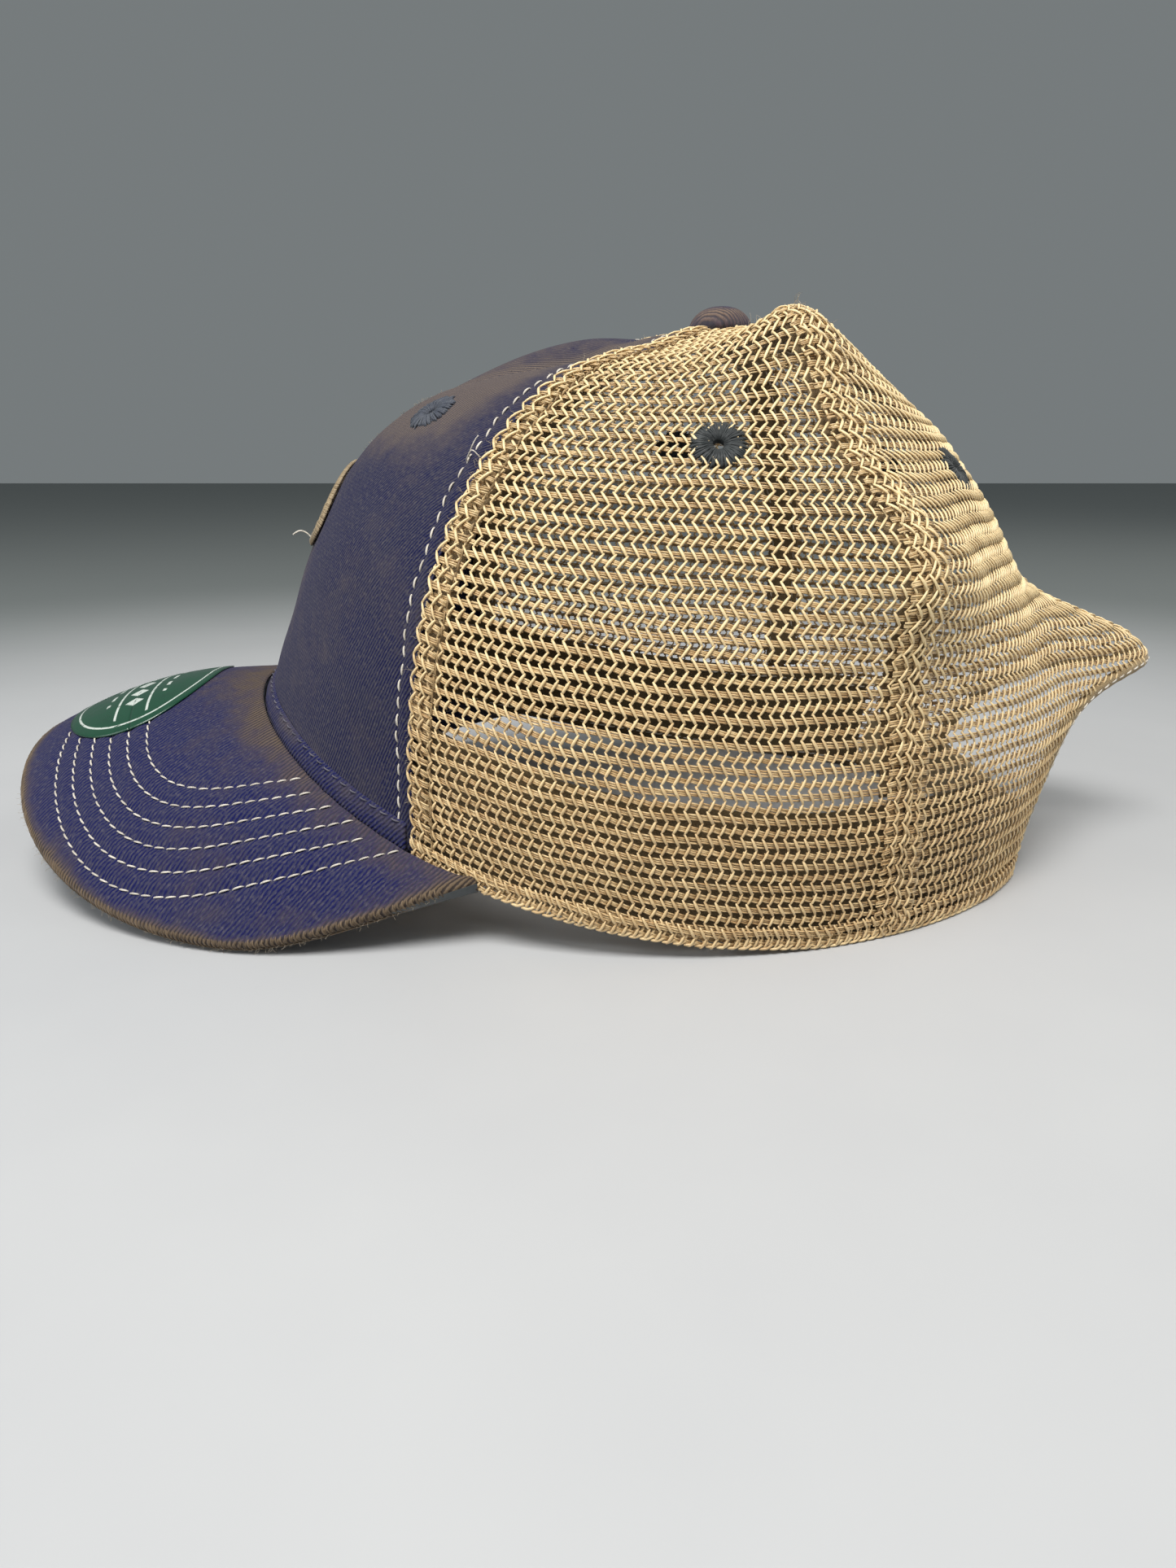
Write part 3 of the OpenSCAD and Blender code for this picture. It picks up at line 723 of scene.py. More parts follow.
def brim_flat(points):
    """The brim cloth's flat position: along its bent cross-section, and along Y."""
    s = np.linspace(0, 0.82, 60)
    profile = brim_mid(s, 0.6)[:, [0, 2]]
    run = arc_lengths(profile, 0)
    x = np.abs(points[..., 0])
    flat = np.interp(x, profile[:, 0], run) + np.maximum(x - profile[-1, 0], 0) * 1.4
    return vec(np.sign(points[..., 0]) * flat, points[..., 1])


def brim_edge_frame(s):
    """Where the flat of the brim ends, its normal there, and the outward direction square to it."""
    q = 1 - BRIM_EDGE_IN / brim_reach(s)
    normal = brim_normal(s, q)
    out = brim_mid(s, 1.0) - brim_mid(s, q)
    out = unit(out - normal * np.sum(out * normal, -1, keepdims=True))
    return q, normal, out


def brim_cover(name, face, node):
    """One of the brim's two covers, quilted by the stitch rows and rolled round the board's edge."""
    s = np.linspace(-1, 1, 240)
    s = np.sign(s) * np.abs(s) ** 0.9
    edge_q, edge_n, out = brim_edge_frame(s)
    rows = np.linspace(0, 1, 88)[:, None]
    q, reach = rows * edge_q, brim_reach(s)
    mid, normal = brim_mid(s, q), brim_normal(s, q) * face
    level = brim_row_level(mid)
    lift = 0.14 * waves(mid[..., 0], mid[..., 1], 30, 5 + face) * np.clip((1 - q) * reach / 8, 0, 1)
    for row in range(BRIM_ROWS):
        away = (level - row) * ROW_WIDE_STEP
        lift = lift - 0.26 * bell(away, 0.7) + 0.08 * bell(np.abs(away) - 2.0, 1.0)
    lift = lift + 0.2 * bell(level + 1.4, 0.9)
    outer, inner = mid + normal * (COVER_OUT + lift)[..., None], mid + normal * COVER_IN
    turn = np.arange(18, 91, 18)[:, None, None]
    edge_mid = brim_mid(s, edge_q)
    roll = out * (BRIM_EDGE_R * sind(turn) - 0.3 * sind(turn) ** 8) + edge_n * face * COVER_OUT * cosd(turn)
    hem = out * 0.8 * sind(turn) + edge_n * face * COVER_IN * cosd(turn)
    outer = np.concatenate([outer, edge_mid + roll])
    inner = np.concatenate([inner, edge_mid + hem])
    outer[..., 2] = np.maximum(outer[..., 2], 0.05)
    flat = brim_flat(outer)
    flat[len(rows):] = flat[len(rows) - 1] + out[:, :2] * np.arange(1, 6)[:, None, None] * 0.55
    from_rim, from_root = (1 - q) * reach, q * reach
    patch = 0.5 + 0.5 * waves(mid[..., 0], mid[..., 1], 40, 9)
    wear = 0.75 * bell(from_rim, 2.6) + 0.34 * bell(from_rim, 10) * patch + 0.42 * bell(from_root, 9)
    wear = wear + 0.55 * bell(from_root, 24) * bell(mid[..., 0], 44) * (0.35 + 0.65 * patch)
    wear = np.clip(np.concatenate([wear, np.ones((5, len(s)))]), 0, 1)
    piece = Piece()
    piece.slab(outer, inner, flat, wear)
    return piece.make(name, BRIM_TWILL, "indigo_twill", stands_for=[node])


def brim_row(level):
    """One stitch row as (s, q): a squarish curve round the front, carried straight to the crown."""
    wide, deep, power = row_shape(level)
    turn = np.linspace(-90, 90, 240)
    x = np.sign(turn) * wide * np.abs(sind(turn)) ** (2 / power)
    y = ROW_CENTRE_Y - deep * pow_pos(cosd(turn), 2 / power)
    back = np.linspace(ROW_CENTRE_Y, BRIM_ROOT_Y + 10, 60)[1:]
    side = wide - ROW_TAPER * (back - ROW_CENTRE_Y) ** 2
    x, y = np.concatenate([-side[::-1], x, side]), np.concatenate([back[::-1], y, back])
    s, q = brim_find(x, y)
    miss = np.hypot(*(brim_mid(s, q)[:, :2] - vec(x, y)).T)
    good = (miss < 0.3) & (q > 0.012)
    return s[good], q[good]


def brim_stitching():
    """The rows of cream stitches through the brim, seen from above and from below."""
    piece = Piece()
    for row in range(BRIM_ROWS):
        s, q = brim_row(row)
        for face in (1, -1):
            normal = brim_normal(s, q) * face
            add_stitches(piece, brim_mid(s, q) + normal * (COVER_OUT - 0.12), normal)
    return piece.make("brim_stitching", SEAM_THREAD, "indigo_twill")


def brim_edge_ribs():
    """The twill's worn ribs standing up as they roll over the brim's edge."""
    s = np.linspace(-0.985, 0.985, 900)
    run = arc_lengths(brim_mid(s, 1.0), 0)
    first = np.arange(1.0, run[-1] - 4, 1.02)
    piece = Piece()
    steps = [(3.4, 0), (2.4, 0)] + [(BRIM_EDGE_IN, turn) for turn in (0, 30, 58, 84)]
    for face in (1, -1):
        path, normals = [], []
        for k, (inset, turn) in enumerate(steps):
            at = np.interp(first + (face * 0.5 + 0.5) * 0.6 + 0.55 * k * face, run, s)
            q = 1 - inset / brim_reach(at)
            _, edge_n, out = brim_edge_frame(at)
            normal = edge_n * face * cosd(turn) + out * sind(turn)
            path.append(brim_mid(at, q) + normal * (1.64 + 0.06 * (k > 1)))
            normals.append(normal)
        path, normals = np.stack(path, 1), unit(np.stack(normals, 1))
        thick = np.array([0.06, 0.15, 0.2, 0.22, 0.22, 0.16]) * per_thread(first, 0.8, 1.15)
        piece.tubes(path, normals, thick, thick, tint=per_thread(first))
    return piece.make("brim_edge_ribs", RUBBED_RIB, "indigo_twill")


def strip_width(phi):
    """The strip at the foot of the front panels widens towards its two ends."""
    return 4.8 + 2.2 * np.abs(phi) / (SEAM_FRONT - 1)


def brim_seam_strip():
    """The folded strip at the foot of the front panels, with its own row of stitches."""
    columns = np.linspace(1 - SEAM_FRONT, SEAM_FRONT - 1, 260)
    phi, w = np.meshgrid(columns, np.linspace(0, 1, 14))
    height = 0.1 + w * strip_width(phi)
    run = arc_lengths(crown_pt(phi, t_at(phi, height)), 1)
    fold = 0.05 * np.sin(run * 2 * math.pi / 9.0) + 0.04 * waves(run, height, 14, 4)
    bulge = pow_pos(np.sin(np.pi * w ** 0.7), 0.4)
    lift = 0.12 + (0.85 + 0.55 * (1 - w) + fold) * bulge
    outer = crown_at(phi, t_at(phi, height), lift)
    inner = crown_at(phi, t_at(phi, height), 0.06)
    wear = np.clip(0.35 * bell(w - 0.75, 0.25) + 0.2 * waves(run, height, 22, 8), 0, 1)
    piece = Piece()
    piece.slab(outer, inner, vec(run, height), wear)
    strip = piece.make("brim_seam_strip_cloth", STRIP_TWILL, "indigo_twill",
                       stands_for=["brim_seam_strip"])
    seam = Piece()
    crown_stitches(seam, columns, t_at(columns, strip_width(columns) - 0.5), 0.72, pitch=3.3, length=2.3,
                   radius=0.2)
    seam.make("brim_seam_stitches", STRIP_THREAD, "indigo_twill")
    return strip


def front_topstitch():
    """The cream stitch row along each front panel's outer seam."""
    piece = Piece()
    t = np.linspace(0.03, 0.945, 220)
    for side in (1, -1):
        inset = TOPSTITCH_IN + 0.3 * np.sin(t * 41 + side) + 0.2 * np.sin(t * 97)
        crown_stitches(piece, side * beside(SEAM_FRONT, t, -inset), t, -0.16, pitch=3.6, length=2.8,
                       radius=0.25)
    return piece.make("front_topstitch", SEAM_THREAD, "indigo_twill")


def button():
    """The cloth-covered button: a dome with small gathers towards its rim."""
    r, turn, x, y = rings(np.linspace(0, 1, 20) ** 0.8, 97)
    gather = 0.10 * sind(turn * 15) * r ** 5 + 0.05 * np.sin(np.radians(turn) * 7 + 1) * r ** 3
    x, y = BUTTON_R * x, BUTTON_R * y
    z = BUTTON_Z0 + (BUTTON_Z1 - BUTTON_Z0) * pow_pos(1 - r ** 2.5, 0.55)
    centre_y, swell = APEX_Y + Y_SHIFT, 1 + gather / BUTTON_R
    outer = vec(x * swell, y * swell + centre_y, z + gather)
    inner = vec(x * 0.92, y * 0.92 + centre_y, np.maximum(z - 0.7, BUTTON_Z0 - 0.05))
    piece = Piece()
    piece.slab(outer, inner, vec(x, y) * 1.15, 0.25 + 0.45 * bell(r - 0.75, 0.25))
    return piece.make("button_cloth", BUTTON_TWILL, "button_cover", stands_for=["top_button_cover"])


# ---------------------------------------------------------------- knitted mesh
class Panel:
    """A mesh panel laid flat: a is mm across from its middle meridian, b is mm up from the hem."""

    def __init__(self, phi_a, phi_b):
        self.t = np.linspace(0, PANEL_TOP, 150)
        phi = np.linspace(phi_a, phi_b, 121)
        points = crown_pt(phi[None], self.t[:, None])
        run = arc_lengths(points, 1)
        run = run - run[:, 60:61]
        self.up = arc_lengths(points, 0)[:, 60]
        self.low, self.high = run[:, 0], run[:, -1]
        self.grid = np.arange(run.min(), run.max() + 0.5, 0.5)
        self.phi = np.array([np.interp(self.grid, row, phi) for row in run])

    def wales(self, shift=0.0):
        """How far across each wale of the knit lies, enough of them to cover the panel."""
        half = int((self.grid[-1] - self.grid[0]) / WALE_GAP / 2) + 2
        return (np.arange(-half, half + 1) + shift) * WALE_GAP

    def covers(self, a, b, margin, arch_share=0.96):
        """True where the panel has cloth: between its seams and clear of the opening at the back."""
        low, high = np.interp(b, self.up, self.low), np.interp(b, self.up, self.high)
        return (a > low - margin) & (a < high + margin) & ~in_arch(*self.place(a, b), arch_share)

    def place(self, a, b):
        """The (phi, t) of a place in the flat panel."""
        t = np.interp(b, self.up, self.t)
        row = t / self.t[1]
        col = (np.clip(a, self.grid[0], self.grid[-1]) - self.grid[0]) / 0.5
        i = np.clip(row.astype(int), 0, len(self.t) - 2)
        j = np.clip(col.astype(int), 0, len(self.grid) - 2)
        u, v = np.clip(row - i, 0, 1), np.clip(col - j, 0, 1)
        near = self.phi[i, j] * (1 - v) + self.phi[i, j + 1] * v
        far = self.phi[i + 1, j] * (1 - v) + self.phi[i + 1, j + 1] * v
        return near * (1 - u) + far * u, t


def in_arch(phi, t, share):
    """True inside the opening at the back, or inside a share of it."""
    back = (180 - np.abs(phi)) / (ARCH_ANGLE * share)
    height = (CROWN_H - hem_z(phi)) * sind(90 * t) / (ARCH_H * share)
    return back ** 2 + height ** 2 < 1


def stretch(level):
    """How far the knit is pulled open at a height, from 0 low down to 1 higher up."""
    return np.clip((level - 25) / 45, 0, 1)


def courses(top, first=0.55):
    """Heights of the knit's zigzag turns: shorter courses low down, stretched ones higher up."""
    levels = [first]
    while levels[-1] < top:
        levels.append(levels[-1] + COURSE_LOW + (COURSE_HIGH - COURSE_LOW) * stretch(levels[-1]))
    return np.array(levels)


def knit(piece, place, wales, levels, keep, lift=0.0, seed=1, wander=1.0):
    """Open knit: zigzag wales of chained loops, with three filaments between each pair of them."""
    i, j = np.meshgrid(np.arange(len(wales)), np.arange(len(levels) - 1), indexing="ij")
    lean = np.where(j % 2, 1.0, -1.0)
    a_mid, b_mid = wales[i], (levels[j] + levels[j + 1]) / 2

    def shape(a, b, rise):
        a = a + 0.24 * wander * waves(a, b, 27, seed)
        b = b + 0.34 * wander * waves(a, b, 34, seed + 1)
        phi, t = place(a, b)
        ripple = 0.22 * waves(a, b, 19, seed + 2)
        return crown_at(phi, t, lift + rise + ripple), crown_normal(phi, t)

    chosen = keep(a_mid, b_mid, 0.0)
    w = np.array([-0.08, 0.2, 0.5, 0.8, 1.1])
    zigzag = lean * (ZIGZAG_LOW + (ZIGZAG_HIGH - ZIGZAG_LOW) * stretch(b_mid))
    a = (a_mid[..., None] + zigzag[..., None] * (0.5 - w))[chosen]
    b = (levels[j][..., None] * (1 - w) + levels[j + 1][..., None] * w)[chosen]
    a = a + per_thread(a, -0.08, 0.08)
    b = b + per_thread(b, -0.10, 0.10)
    path, normal = shape(a, b, np.array([0.0, 0.3, 0.44, 0.34, 0.1]))
    thick = BAR_R * np.array([0.5, 0.85, 1.0, 0.9, 0.55]) * per_thread(a, 0.88, 1.14)
    pulled = stretch(b.mean(1, keepdims=True))
    # Painted highlight: bars take paler shades than the filaments, as raised strokes catching light, and
    # paler still higher up where the knit is pulled open; within that each bar's shade is random
    tint = per_thread(a, 0.1, 1.3) + 0.7 * pulled
    # The wear number here makes the yarn darker and browner lower down, where the knit is less pulled open
    piece.tubes(path, normal, thick, thick * 0.75, wear=0.25 * (1 - pulled), tint=tint)

    chosen = keep(a_mid + WALE_GAP / 2, b_mid, WALE_GAP / 2)
    w = np.array([0.0, 0.5, 1.0])
    for strand in (-1, 0, 1):
        a = (a_mid[..., None] + WALE_GAP * w)[chosen]
        tilt = 0.55 * (0.5 - w) * np.where(lean > 0, 0.25, 1.0)[..., None]
        spread = STRAND_GAP * np.where(lean > 0, 1.15, 0.92)[..., None]
        b = (b_mid[..., None] + strand * spread + tilt)[chosen]
        pulled = stretch(b.mean(1, keepdims=True))
        b = b + per_thread(b, -0.09, 0.09)
        rise = np.array([-0.12, 0.04, -0.1]) + per_thread(b, -0.05, 0.06)
        path, normal = shape(a, b, rise - 0.04 * (strand == 0))
        # Painted shade: filaments take darker shades than the bars, as if lying in shade between them, a
        # little darker higher up; within that each filament's shade is random
        tint = per_thread(b, -0.8, 0.9) - 0.1 * pulled
        # The wear number here makes the yarn darker and browner lower down, where the knit is less pulled
        # open
        piece.tubes(path, normal, STRAND_R, STRAND_R * 0.75, 4, wear=0.25 * (1 - pulled), tint=tint)


def mesh_panel(part, side, side_name, phi_a, phi_b, seed):
    """One panel of the open mesh, cut off at its seams, at the opening and round its eyelet."""
    panel = Panel(*sorted((side * phi_a, side * phi_b)))

    def keep(a, b, margin):
        away = off_eyelet(crown_pt(*panel.place(a, b)), part, side)
        return panel.covers(a, b, margin) & (away > EYELET_CUT_KNIT)
    piece = Piece()
    knit(piece, panel.place, panel.wales(), courses(panel.up[-1] - 0.5), keep, seed=seed)
    return piece.make(f"knit_{part}_{side_name}", MESH_YARN, "khaki_mesh",
                      stands_for=[f"{part}_mesh_{side_name}"])


def seam_place(phi, direction):
    """A place rule for knit that runs along a seam: a is mm away from it, b mm up along it."""
    t = np.linspace(0, PANEL_TOP, 240)
    run = arc_lengths(crown_pt(phi, t), 0)

    def place(a, b):
        at = np.interp(b, run, t)
        return beside(phi, at, direction * a), at
    return place, run[-1]


def mesh_folds(side, side_name):
    """The doubled knit: turned edges along the seams, and the turned hem."""
    piece = Piece()
    for phi, direction, wales, lift, first in (
            (SEAM_FRONT, 1, [0.8, 3.1], 0.9, 0.6), (SEAM_BACK, -1, [0.5, 2.8], 0.75, 0.6),
            (SEAM_BACK, 1, [0.7, 3.0], 0.6, 2.0), (179.9, -1, [0.6], 0.5, 53.0)):
        place, top = seam_place(side * phi, side * direction)

        def keep(a, b, margin, place=place, top=top):
            return (b < top * 0.955) & ~in_arch(*place(a, b), 1.06)
        knit(piece, place, np.array(wales), courses(top, first), keep, lift, seed=phi, wander=0.6)
    for phi_a, phi_b in ((SEAM_FRONT, SEAM_BACK), (SEAM_BACK, 180.0)):
        panel = Panel(*sorted((side * phi_a, side * phi_b)))

        def keep(a, b, margin, panel=panel):
            return panel.covers(a, b, margin, 1.0)
        knit(piece, panel.place, panel.wales(0.5), courses(4.6, 0.5), keep, 0.8, seed=phi_a + 7, wander=1.6)
        a = panel.wales()[:-1]
        a = a[keep(a + WALE_GAP / 2, 0.6, 0.0)]
        w = np.linspace(-0.1, 1.15, 6)
        at = panel.place(a[:, None] + WALE_GAP * w, 0.42 + 0.75 * w ** 2)
        path = crown_at(*at, 0.75 + 0.35 * np.sin(np.pi * np.clip(w, 0, 1)))
        piece.tubes(path, crown_normal(*at), 0.34, 0.26, tint=per_thread(a, -0.6, 1.0))
    return piece.make("knit_folds_" + side_name, MESH_YARN, "khaki_mesh")


def mesh_seam_thread():
    """The sewing that sinks into the knit behind its turned front edge and beside its back seam."""
    piece = Piece()
    for side in (1, -1):
        for phi, away, lift, top in ((SEAM_FRONT, 5.4, 0.35, 0.93), (SEAM_BACK, -0.1, 0.7, 0.95)):
            t = np.linspace(0.02, top, 260)
            crown_stitches(piece, side * beside(phi, t, away), t, lift, pitch=2.7, length=2.5, radius=0.26)
    return piece.make("mesh_seam_thread", MESH_SEAM, "khaki_mesh")


# ---------------------------------------------------------------- lining, binding and eyelets
def sweatband():
    """The cotton band inside the hem, puckered and stitched near both its edges."""
    columns = np.linspace(-SWEATBAND_ANGLE, SWEATBAND_ANGLE, 220)
    phi, height = np.meshgrid(columns, np.linspace(0.4, SWEATBAND_H, 26))
    t = t_at(phi, height)
    run = arc_lengths(crown_pt(phi, t), 1)
    pucker = 0.12 * np.sin(run * 2 * math.pi / 6.5) * (bell(height - 28, 3) + bell(height - 2, 2))
    outer = crown_at(phi, t, pucker * 0.3 - SWEATBAND_OUT)
    inner = crown_at(phi, t, pucker - SWEATBAND_IN - 0.15 * np.sin(np.pi * height / SWEATBAND_H))
    wear = np.clip(0.3 * bell(height - 12, 9) + 0.2 * waves(run, height, 40, 6), 0, 1)
    piece, seams = Piece(), Piece()
    piece.slab(outer, inner, vec(run, height), wear)
    piece.make("sweatband_cloth", SWEAT_CLOTH, "sweatband", stands_for=["sweatband"])
    for height, depth in ((2.2, 2.95), (27.2, 2.9)):
        crown_stitches(seams, columns, t_at(columns, height), -depth, -1, pitch=3.4, length=2.7,
                       radius=0.27)
    return seams.make("sweatband_stitches", SEAM_THREAD, "sweatband")


def seam_tapes(where, runs):
    """Cotton tapes over the inside of the crown's seams, each with a stitch row near both edges."""
    piece, seams = Piece(), Piece()
    for phi_seam, foot in runs:
        line = np.linspace(foot, TAPE_TOP, 80)
        t, w = np.meshgrid(line, np.linspace(-1, 1, 9), indexing="ij")
        phi = beside(phi_seam, t, TAPE_HALF_W * w)
        curl = 0.25 * np.abs(w) ** 4 - 0.1 * (1 - w ** 2)
        run = arc_lengths(crown_pt(phi_seam, t), 0)
        piece.slab(crown_at(phi, t, -TAPE_OUT), crown_at(phi, t, curl - TAPE_IN),
                   vec(TAPE_HALF_W * w, run), 0.15)
        for edge in (-0.72, 0.72):
            at = beside(phi_seam, line, TAPE_HALF_W * edge)
            crown_stitches(seams, at, line, -TAPE_IN - 0.02, -1, pitch=3.2, length=2.5)
    piece.make("tape_" + where, SEAM_TAPE, "seam_tape", stands_for=[where + "_seam_tape"])
    return seams.make(f"tape_{where}_stitches", SEAM_THREAD, "seam_tape")


def arch_binding():
    """Folded binding round the back opening's edge, stitched down along its middle."""
    turn, share = np.linspace(2, 178, 140), 0.9625
    phi = 180 - ARCH_ANGLE * share * cosd(turn)
    phi = np.where(phi > 180, phi - 360, phi)
    t = t_at(phi, ARCH_H * share * sind(turn))
    path = crown_at(phi, t, -BINDING_IN)
    width = BINDING_HALF_W * (1 + 0.05 * np.sin(arc_lengths(path, 0) * 1.1))
    piece, seams = Piece(), Piece()
    piece.tubes(path[None], crown_normal(phi, t)[None], width, BINDING_HALF_T, 14, wear=0.1)
    piece.flat[0] = piece.flat[0] * np.array([1.0, 9.0])
    piece.make("arch_binding_cloth", BINDING, "arch_binding", stands_for=["arch_binding"])
    for face in (1, -1):
        crown_stitches(seams, phi, t, 1.05 * face - BINDING_IN, face, pitch=3.2, length=2.5, radius=0.25)
    return seams.make("arch_binding_stitches", SEAM_THREAD, "arch_binding")


def eyelet_place(phi, t, x, y):
    """(phi, t) of a point x mm round and y mm up from an eyelet's centre."""
    per_t = norm(crown_pt(phi, t + 0.01) - crown_pt(phi, t - 0.01)) / 0.02
    return beside(phi, t, x), t + y / per_t


def eyelets(place, thread):
    """A pair of sewn eyelets: thick pads of radial threads that dive into a small open hole."""
    piece = Piece()
    middle, t = EYELETS[place]
    for phi in (middle, -middle):
        r, turn, x, y = rings(np.linspace(EYELET_PAD_IN, EYELET_PAD_OUT, 7), 49)
        at = eyelet_place(phi, t, x, y)
        puff = 0.12 + 0.3 * np.sin(np.pi * (r - EYELET_PAD_IN) / (EYELET_PAD_OUT - EYELET_PAD_IN))
        flat = vec(r, turn / 60)
        piece.slab(crown_at(*at, puff), crown_at(*at, -1.2 - 0.6 * puff), flat, tint=-1)
        for layer, (count, tall) in enumerate(((58, 0.78), (46, 1.0))):
            turn = (np.arange(count) + 0.5 * layer) * 360 / count + random.uniform(-2.2, 2.2, count)
            reach = EYELET_R + random.uniform(-0.65, 0.45, count)
            share = np.array([0.0, 0.07, 0.3, 0.6, 0.88, 1.0])
            r = EYELET_BORE + (reach[:, None] - EYELET_BORE) * share
            bend = turn[:, None] + per_thread(turn, -4.0, 4.0) * share
            at = eyelet_place(phi, t, r * cosd(bend), r * sind(bend))
            rise = np.array([-0.9, 0.1, 0.62, 0.6, 0.3, -0.25]) * tall
            path = crown_at(*at, rise + per_thread(turn, -0.08, 0.08))
            thick = np.array([0.12, 0.13, 0.2, 0.27, 0.27, 0.16])
            piece.tubes(path, crown_normal(*at), thick, thick * 0.9, tint=per_thread(turn))
    return piece.make("eyelets_" + place, thread, "eyelet_thread", stands_for=[place + "_eyelets"])


# ---------------------------------------------------------------- embroidery and sticker
def emblem_at(x, y, lift):
    """A point of the front emblem: x and y from -1 to 1 over its oval."""
    phi = EMBLEM_ANGLE * x
    t = t_at(phi, EMBLEM_Z + EMBLEM_HALF_H * y)
    return crown_at(phi, t, lift), crown_normal(phi, t)


def satin(piece, x, y, lift, radius):
    """A run of satin stitches across the emblem, each an arching thread with its own shade."""
    path, normal = emblem_at(x, y, lift)
    piece.tubes(path, normal, radius, radius * 0.68, tint=per_thread(path))


def embroidery():
    """A plain oval patch: filled ground, satin border and three zigzag satin bars."""
    r, turn, x, y = rings(np.linspace(0.02, 1, 16), 121)
    ground, threads = Piece(), Piece()
    ground.slab(emblem_at(x, y, 0.62 - 0.3 * r ** 10)[0], emblem_at(x, y, 0.05)[0],
                vec(36 * x, 15 * y))
    ground.make("embroidery_ground", EMBLEM_GROUND, "embroidery_thread", stands_for=["front_embroidery"])
    w = np.linspace(0, 1, 6)
    arch = np.sin(np.pi * w) ** 0.7
    turn = np.arange(0, 360, 0.95)[:, None] + 1.6 * (w - 0.5)
    r = 0.86 + 0.17 * w + per_thread(turn, -0.012, 0.012)
    satin(threads, r * cosd(turn), r * sind(turn), 0.45 + 0.75 * arch, 0.3)
    for level in (-0.42, 0.0, 0.42):
        x = np.arange(-0.62, 0.62, 0.0125)[:, None] + 0.004 * w
        middle = level + 0.16 * (np.abs(((x * 3.2) % 1.0) - 0.5) * 2 - 0.5)
        y = middle + 0.13 * (w - 0.5) * 2 + per_thread(x, -0.01, 0.01)
        satin(threads, x, y, 0.5 + 0.6 * arch, 0.28)
    return threads.make("embroidery_threads", TAN_THREAD, "embroidery_thread")


def sticker():
    """The oval film on the brim, lying over the quilted cloth."""
    _, _, x, y = rings(np.linspace(0.02, 1, 26), 161)
    s, q = STICKER_S * x, STICKER_Q - STICKER_HALF_Q * y
    flat = vec(STICKER_HALF_W * x, STICKER_HALF_D * y)
    lift = COVER_OUT + 0.5 + 0.05 * waves(flat[..., 0], flat[..., 1], 16, 2)
    middle, normal = brim_mid(s, q), brim_normal(s, q)
    piece = Piece()
    piece.slab(middle + normal * lift[..., None], middle + normal * (lift - 0.35)[..., None], flat)
    return piece.make("sticker_film", FILM, "brim_sticker", stands_for=["brim_sticker"])


# ---------------------------------------------------------------- strap necks and stray fibres
def strap_neck(name, side, depth, end_phi, plane_y):
    """The strap's living hinge: a thin moulded neck from its sewn tab to the swinging strap."""
    phi = side * np.linspace(end_phi - 5.5, end_phi, 8)
    lead = crown_at(phi, t_at(phi, STRAP_Z), -depth - STRAP_T / 2)[:, :2]
    free = vec(side * np.linspace(HINGE_X - 0.5, HINGE_X - 5.5, 6), np.full(6, plane_y))
    line = np.concatenate([lead, free])
    line[1:-1] = (line[:-2] + 2 * line[1:-1] + line[2:]) / 4
    step = unit(np.gradient(line, axis=0))
    out = vec(step[:, 1], -step[:, 0])
    out = out * np.sign(out[:, 1:2])
    w = np.linspace(-1, 1, 17)
    z = STRAP_Z + (STRAP_W / 2 + 0.15) * np.sign(w) * (1 - (1 - np.abs(w)) ** 1.5)
    thick = 0.9 * pow_pos(1 - np.abs(w) ** 8, 0.5) + 0.02

    def face(sign):
        plan = line[:, None] + sign * out[:, None] * thick[:, None]
        return np.concatenate([plan, np.broadcast_to(z[:, None], plan.shape[:2] + (1,))], -1)
    piece = Piece()
    piece.slab(face(1), face(-1), np.stack(np.meshgrid(z, arc_lengths(line, 0)), -1))
    neck = piece.make(name, SNAP, "snap_plastic", body=None)
    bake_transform(neck)
    return neck


def fibres(piece, base, normal, length, radius=0.055):
    """Short curling hairs that stand off the cloth at the given points."""
    count = len(base)
    w = np.linspace(0, 1, 6)[:, None]
    aim = unit(normal + random.uniform(-0.9, 0.9, (count, 3)))
    swing = np.cross(aim, unit(random.uniform(-1, 1, (count, 3))))
    size = length * per_thread(base, 0.35, 1.0)[:, None]
    path = base[:, None] + size * (aim[:, None] * w + 0.54 * swing[:, None] * w ** 2)
    path = path + size * 0.12 * np.cross(aim, swing)[:, None] * np.sin(w * 7)
    thick = radius * (1 - 0.6 * w[:, 0])
    across = unit(np.cross(aim, [0.3, 0.2, 0.9]) + 1e-6)[:, None]
    piece.tubes(path, across, thick, thick, 4, tint=per_thread(path))


def stray_fibres():
    """Fuzz along the brim's edge, the mesh's seams and the ridge of the front panels."""
    piece = Piece()
    s = random.uniform(-0.98, 0.98, 420)
    _, normal, out = brim_edge_frame(s)
    fibres(piece, brim_mid(s, 1.0) + out * 0.1, unit(out + 0.4 * normal), 1.5)
    t = random.uniform(0.02, 0.9, 90)
    side = np.where(random.uniform(0, 1, 90) > 0.5, 1.0, -1.0)
    at = side * beside(SEAM_FRONT, t, 0.2)
    fibres(piece, crown_at(at, t, 1.0), crown_normal(at, t), 2.0)
    t = random.uniform(0.45, 0.92, 90)
    at = side * (SEAM_BACK + random.uniform(-3, 3, 90))
    fibres(piece, crown_at(at, t, 1.0), crown_normal(at, t), 3.2, 0.06)
    t, at = random.uniform(0.3, 0.95, 260), random.uniform(-9, 9, 260)
    fibres(piece, crown_at(at, t, 0.1), crown_normal(at, t), 1.0, 0.045)
    return piece.make("stray_fibres", FUZZ, "indigo_twill")


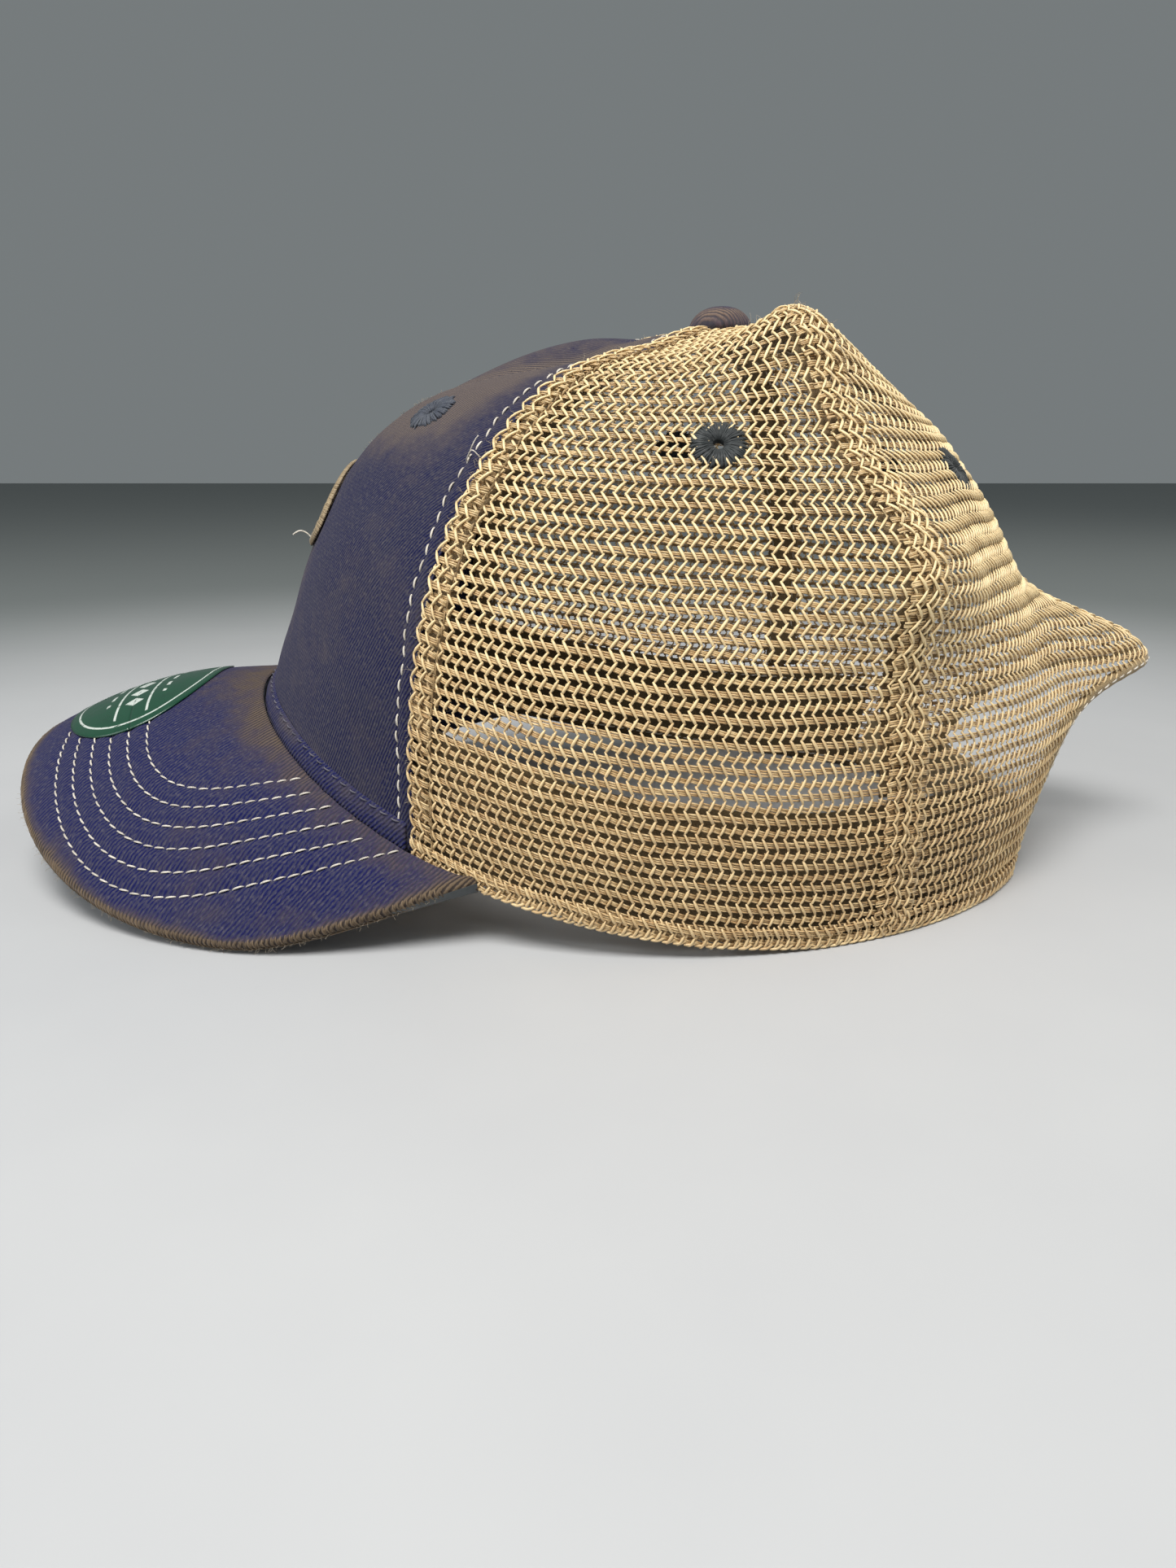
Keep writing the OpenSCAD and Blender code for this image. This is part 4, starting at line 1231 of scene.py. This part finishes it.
def loose_threads():
    """Three longer thread ends: two from the front topstitch, one from the emblem's edge."""
    piece = Piece()
    w, low = np.linspace(0, 1, 14), 0.52
    phi = beside(SEAM_FRONT, low, -TOPSTITCH_IN)
    for t, ahead, rise, curl in (
            (low, (0.3, 0.9, 0.2), 1.4, 0.9), (low + 0.006, (0.1, 0.6, 0.9), 1.0, -0.5)):
        base, normal = crown_at(phi, t, 0.2), crown_normal(phi, t)
        path = base + np.outer(w * 4.4, ahead) * 0.9 + np.outer(np.sin(w * 2.6) * rise, normal)
        path = path + np.outer(np.sin(w * 4) * curl, [0.2, 0.2, 1.0])
        piece.tubes(path[None], normal, 0.13, 0.13, tint=0.4)
    base, normal = emblem_at(0.19, -0.95, 0.8)
    path = base + np.outer(w * 6.0, normal) + np.outer(np.sin(w * 2.8) * 1.6, [0.0, 0.0, 1.0])
    path = path + np.outer(w ** 2 * 1.5, [0.8, 0.3, -0.9])
    piece.tubes(path[None], [1.0, 0.0, 0.0], 0.2, 0.2, tint=0.7)
    return piece.make("loose_threads", SEAM_THREAD, "embroidery_thread")


# ---------------------------------------------------------------- the cap
for hand, hand_name in ((1, "left"), (-1, "right")):
    twill_front(hand, hand_name)
    mesh_panel("side", hand, hand_name, SEAM_FRONT, SEAM_BACK, 3 + hand)
    mesh_panel("back", hand, hand_name, SEAM_BACK, 180.0, 8 + hand)
    mesh_folds(hand, hand_name)
mesh_seam_thread()
brim_cover("brim_cloth_top", 1, "brim_top_cover")
brim_cover("brim_cloth_under", -1, "brim_under_cover")
brim_stitching()
brim_edge_ribs()
brim_seam_strip()
front_topstitch()
button()
sweatband()
seam_tapes("centre", [(0.0, 0.30), (180.0, 0.30)])
seam_tapes("left", [(SEAM_FRONT, 0.19), (SEAM_BACK, 0.16)])
seam_tapes("right", [(-SEAM_FRONT, 0.19), (-SEAM_BACK, 0.16)])
arch_binding()
eyelets("front", FADED_EYELET)
eyelets("side", EYELET_THREAD)
eyelets("back", EYELET_THREAD)
embroidery()
sticker()
strap_neck("hole_strap_neck", 1, depth=1.95, end_phi=156.4, plane_y=104.0)
strap_neck("peg_strap_neck", -1, depth=3.25, end_phi=155.4, plane_y=102.7)
stray_fibres()
loose_threads()

for node, material in (("hole_strap", SNAP), ("peg_strap", SNAP), ("hole_strap_tab", SNAP),
                       ("peg_strap_tab", SNAP), ("brim_board", BOARD),
                       ("top_button_shell", METAL), ("top_button_back", METAL)):
    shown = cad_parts[node]
    shown.data.materials.clear()
    shown.data.materials.append(material)


# ---------------------------------------------------------------- floor, light and camera
# Places are in metres. The camera looks along -X, tilted down by CAMERA_TILT degrees
CAMERA_PLACE, CAMERA_TILT = (0.280, -0.002, 0.1015), 17.82
LENS, SENSOR = 24.0, 36.0
LIGHT_AIM, SKY_POWER = (0, 0, 0.05), 0.36
FLOOR_HALF = 3.0


def stage_floor():
    mesh = bpy.data.meshes.new("floor")
    corners = [(x * FLOOR_HALF, y * FLOOR_HALF, 0) for x, y in ((-1, -1), (1, -1), (1, 1), (-1, 1))]
    mesh.from_pydata(corners, [], [(0, 1, 2, 3)])
    s = Shader("floor", Roughness=0.6, Specular_IOR_Level=0.25)
    place = s.solid()
    x, y, _ = s.split(place)
    # Painted shade: the floor's colour goes from pale near the cap to a mid grey 200 to 620 mm away, a pool
    # of light painted on the floor
    far = s.calc("SQRT", s.add(s.mul(x, x), s.mul(y, y)))
    pale = s.blend(s.noise(place, 60.0), srgb(184, 185, 187), srgb(192, 193, 194))
    mesh.materials.append(s.finish(s.blend(s.ease(far, 200.0, 620.0), pale, srgb(126, 131, 130))))
    floor = new_object("floor", mesh)


def area_light(name, place, width, depth, power, colour):
    """A soft rectangular light that faces the cap."""
    lamp = bpy.data.lights.new(name, "AREA")
    lamp.shape, lamp.size, lamp.size_y = "RECTANGLE", width, depth
    lamp.energy, lamp.color = power, colour
    light = new_object(name, lamp)
    light.location = place
    light.rotation_mode = "QUATERNION"
    light.rotation_quaternion = (Vector(LIGHT_AIM) - Vector(place)).to_track_quat("-Z", "Y")


stage_floor()
world = bpy.data.worlds.new("studio")
world.use_nodes = True
world.node_tree.nodes["Background"].inputs["Color"].default_value = srgb(188, 196, 198)
world.node_tree.nodes["Background"].inputs["Strength"].default_value = SKY_POWER
bpy.context.scene.world = world
area_light("ceiling", (0.48, -0.08, 1.05), 0.6, 0.5, 14.5, (1.0, 0.985, 0.96))
area_light("front_fill", (0.5, -0.9, 0.6), 0.7, 0.7, 3.6, (0.95, 0.98, 1.0))
area_light("back_fill", (-0.4, 0.9, 0.8), 0.7, 0.7, 2.6, (1.0, 0.97, 0.92))

lens = bpy.data.cameras.new("camera")
lens.lens, lens.sensor_width, lens.clip_start = LENS, SENSOR, 0.01
camera = new_object("camera", lens)
camera.location = CAMERA_PLACE
camera.rotation_euler = (math.radians(90 - CAMERA_TILT), 0, math.radians(90))
bpy.context.scene.camera = camera
bpy.context.scene.view_settings.view_transform = "Standard"
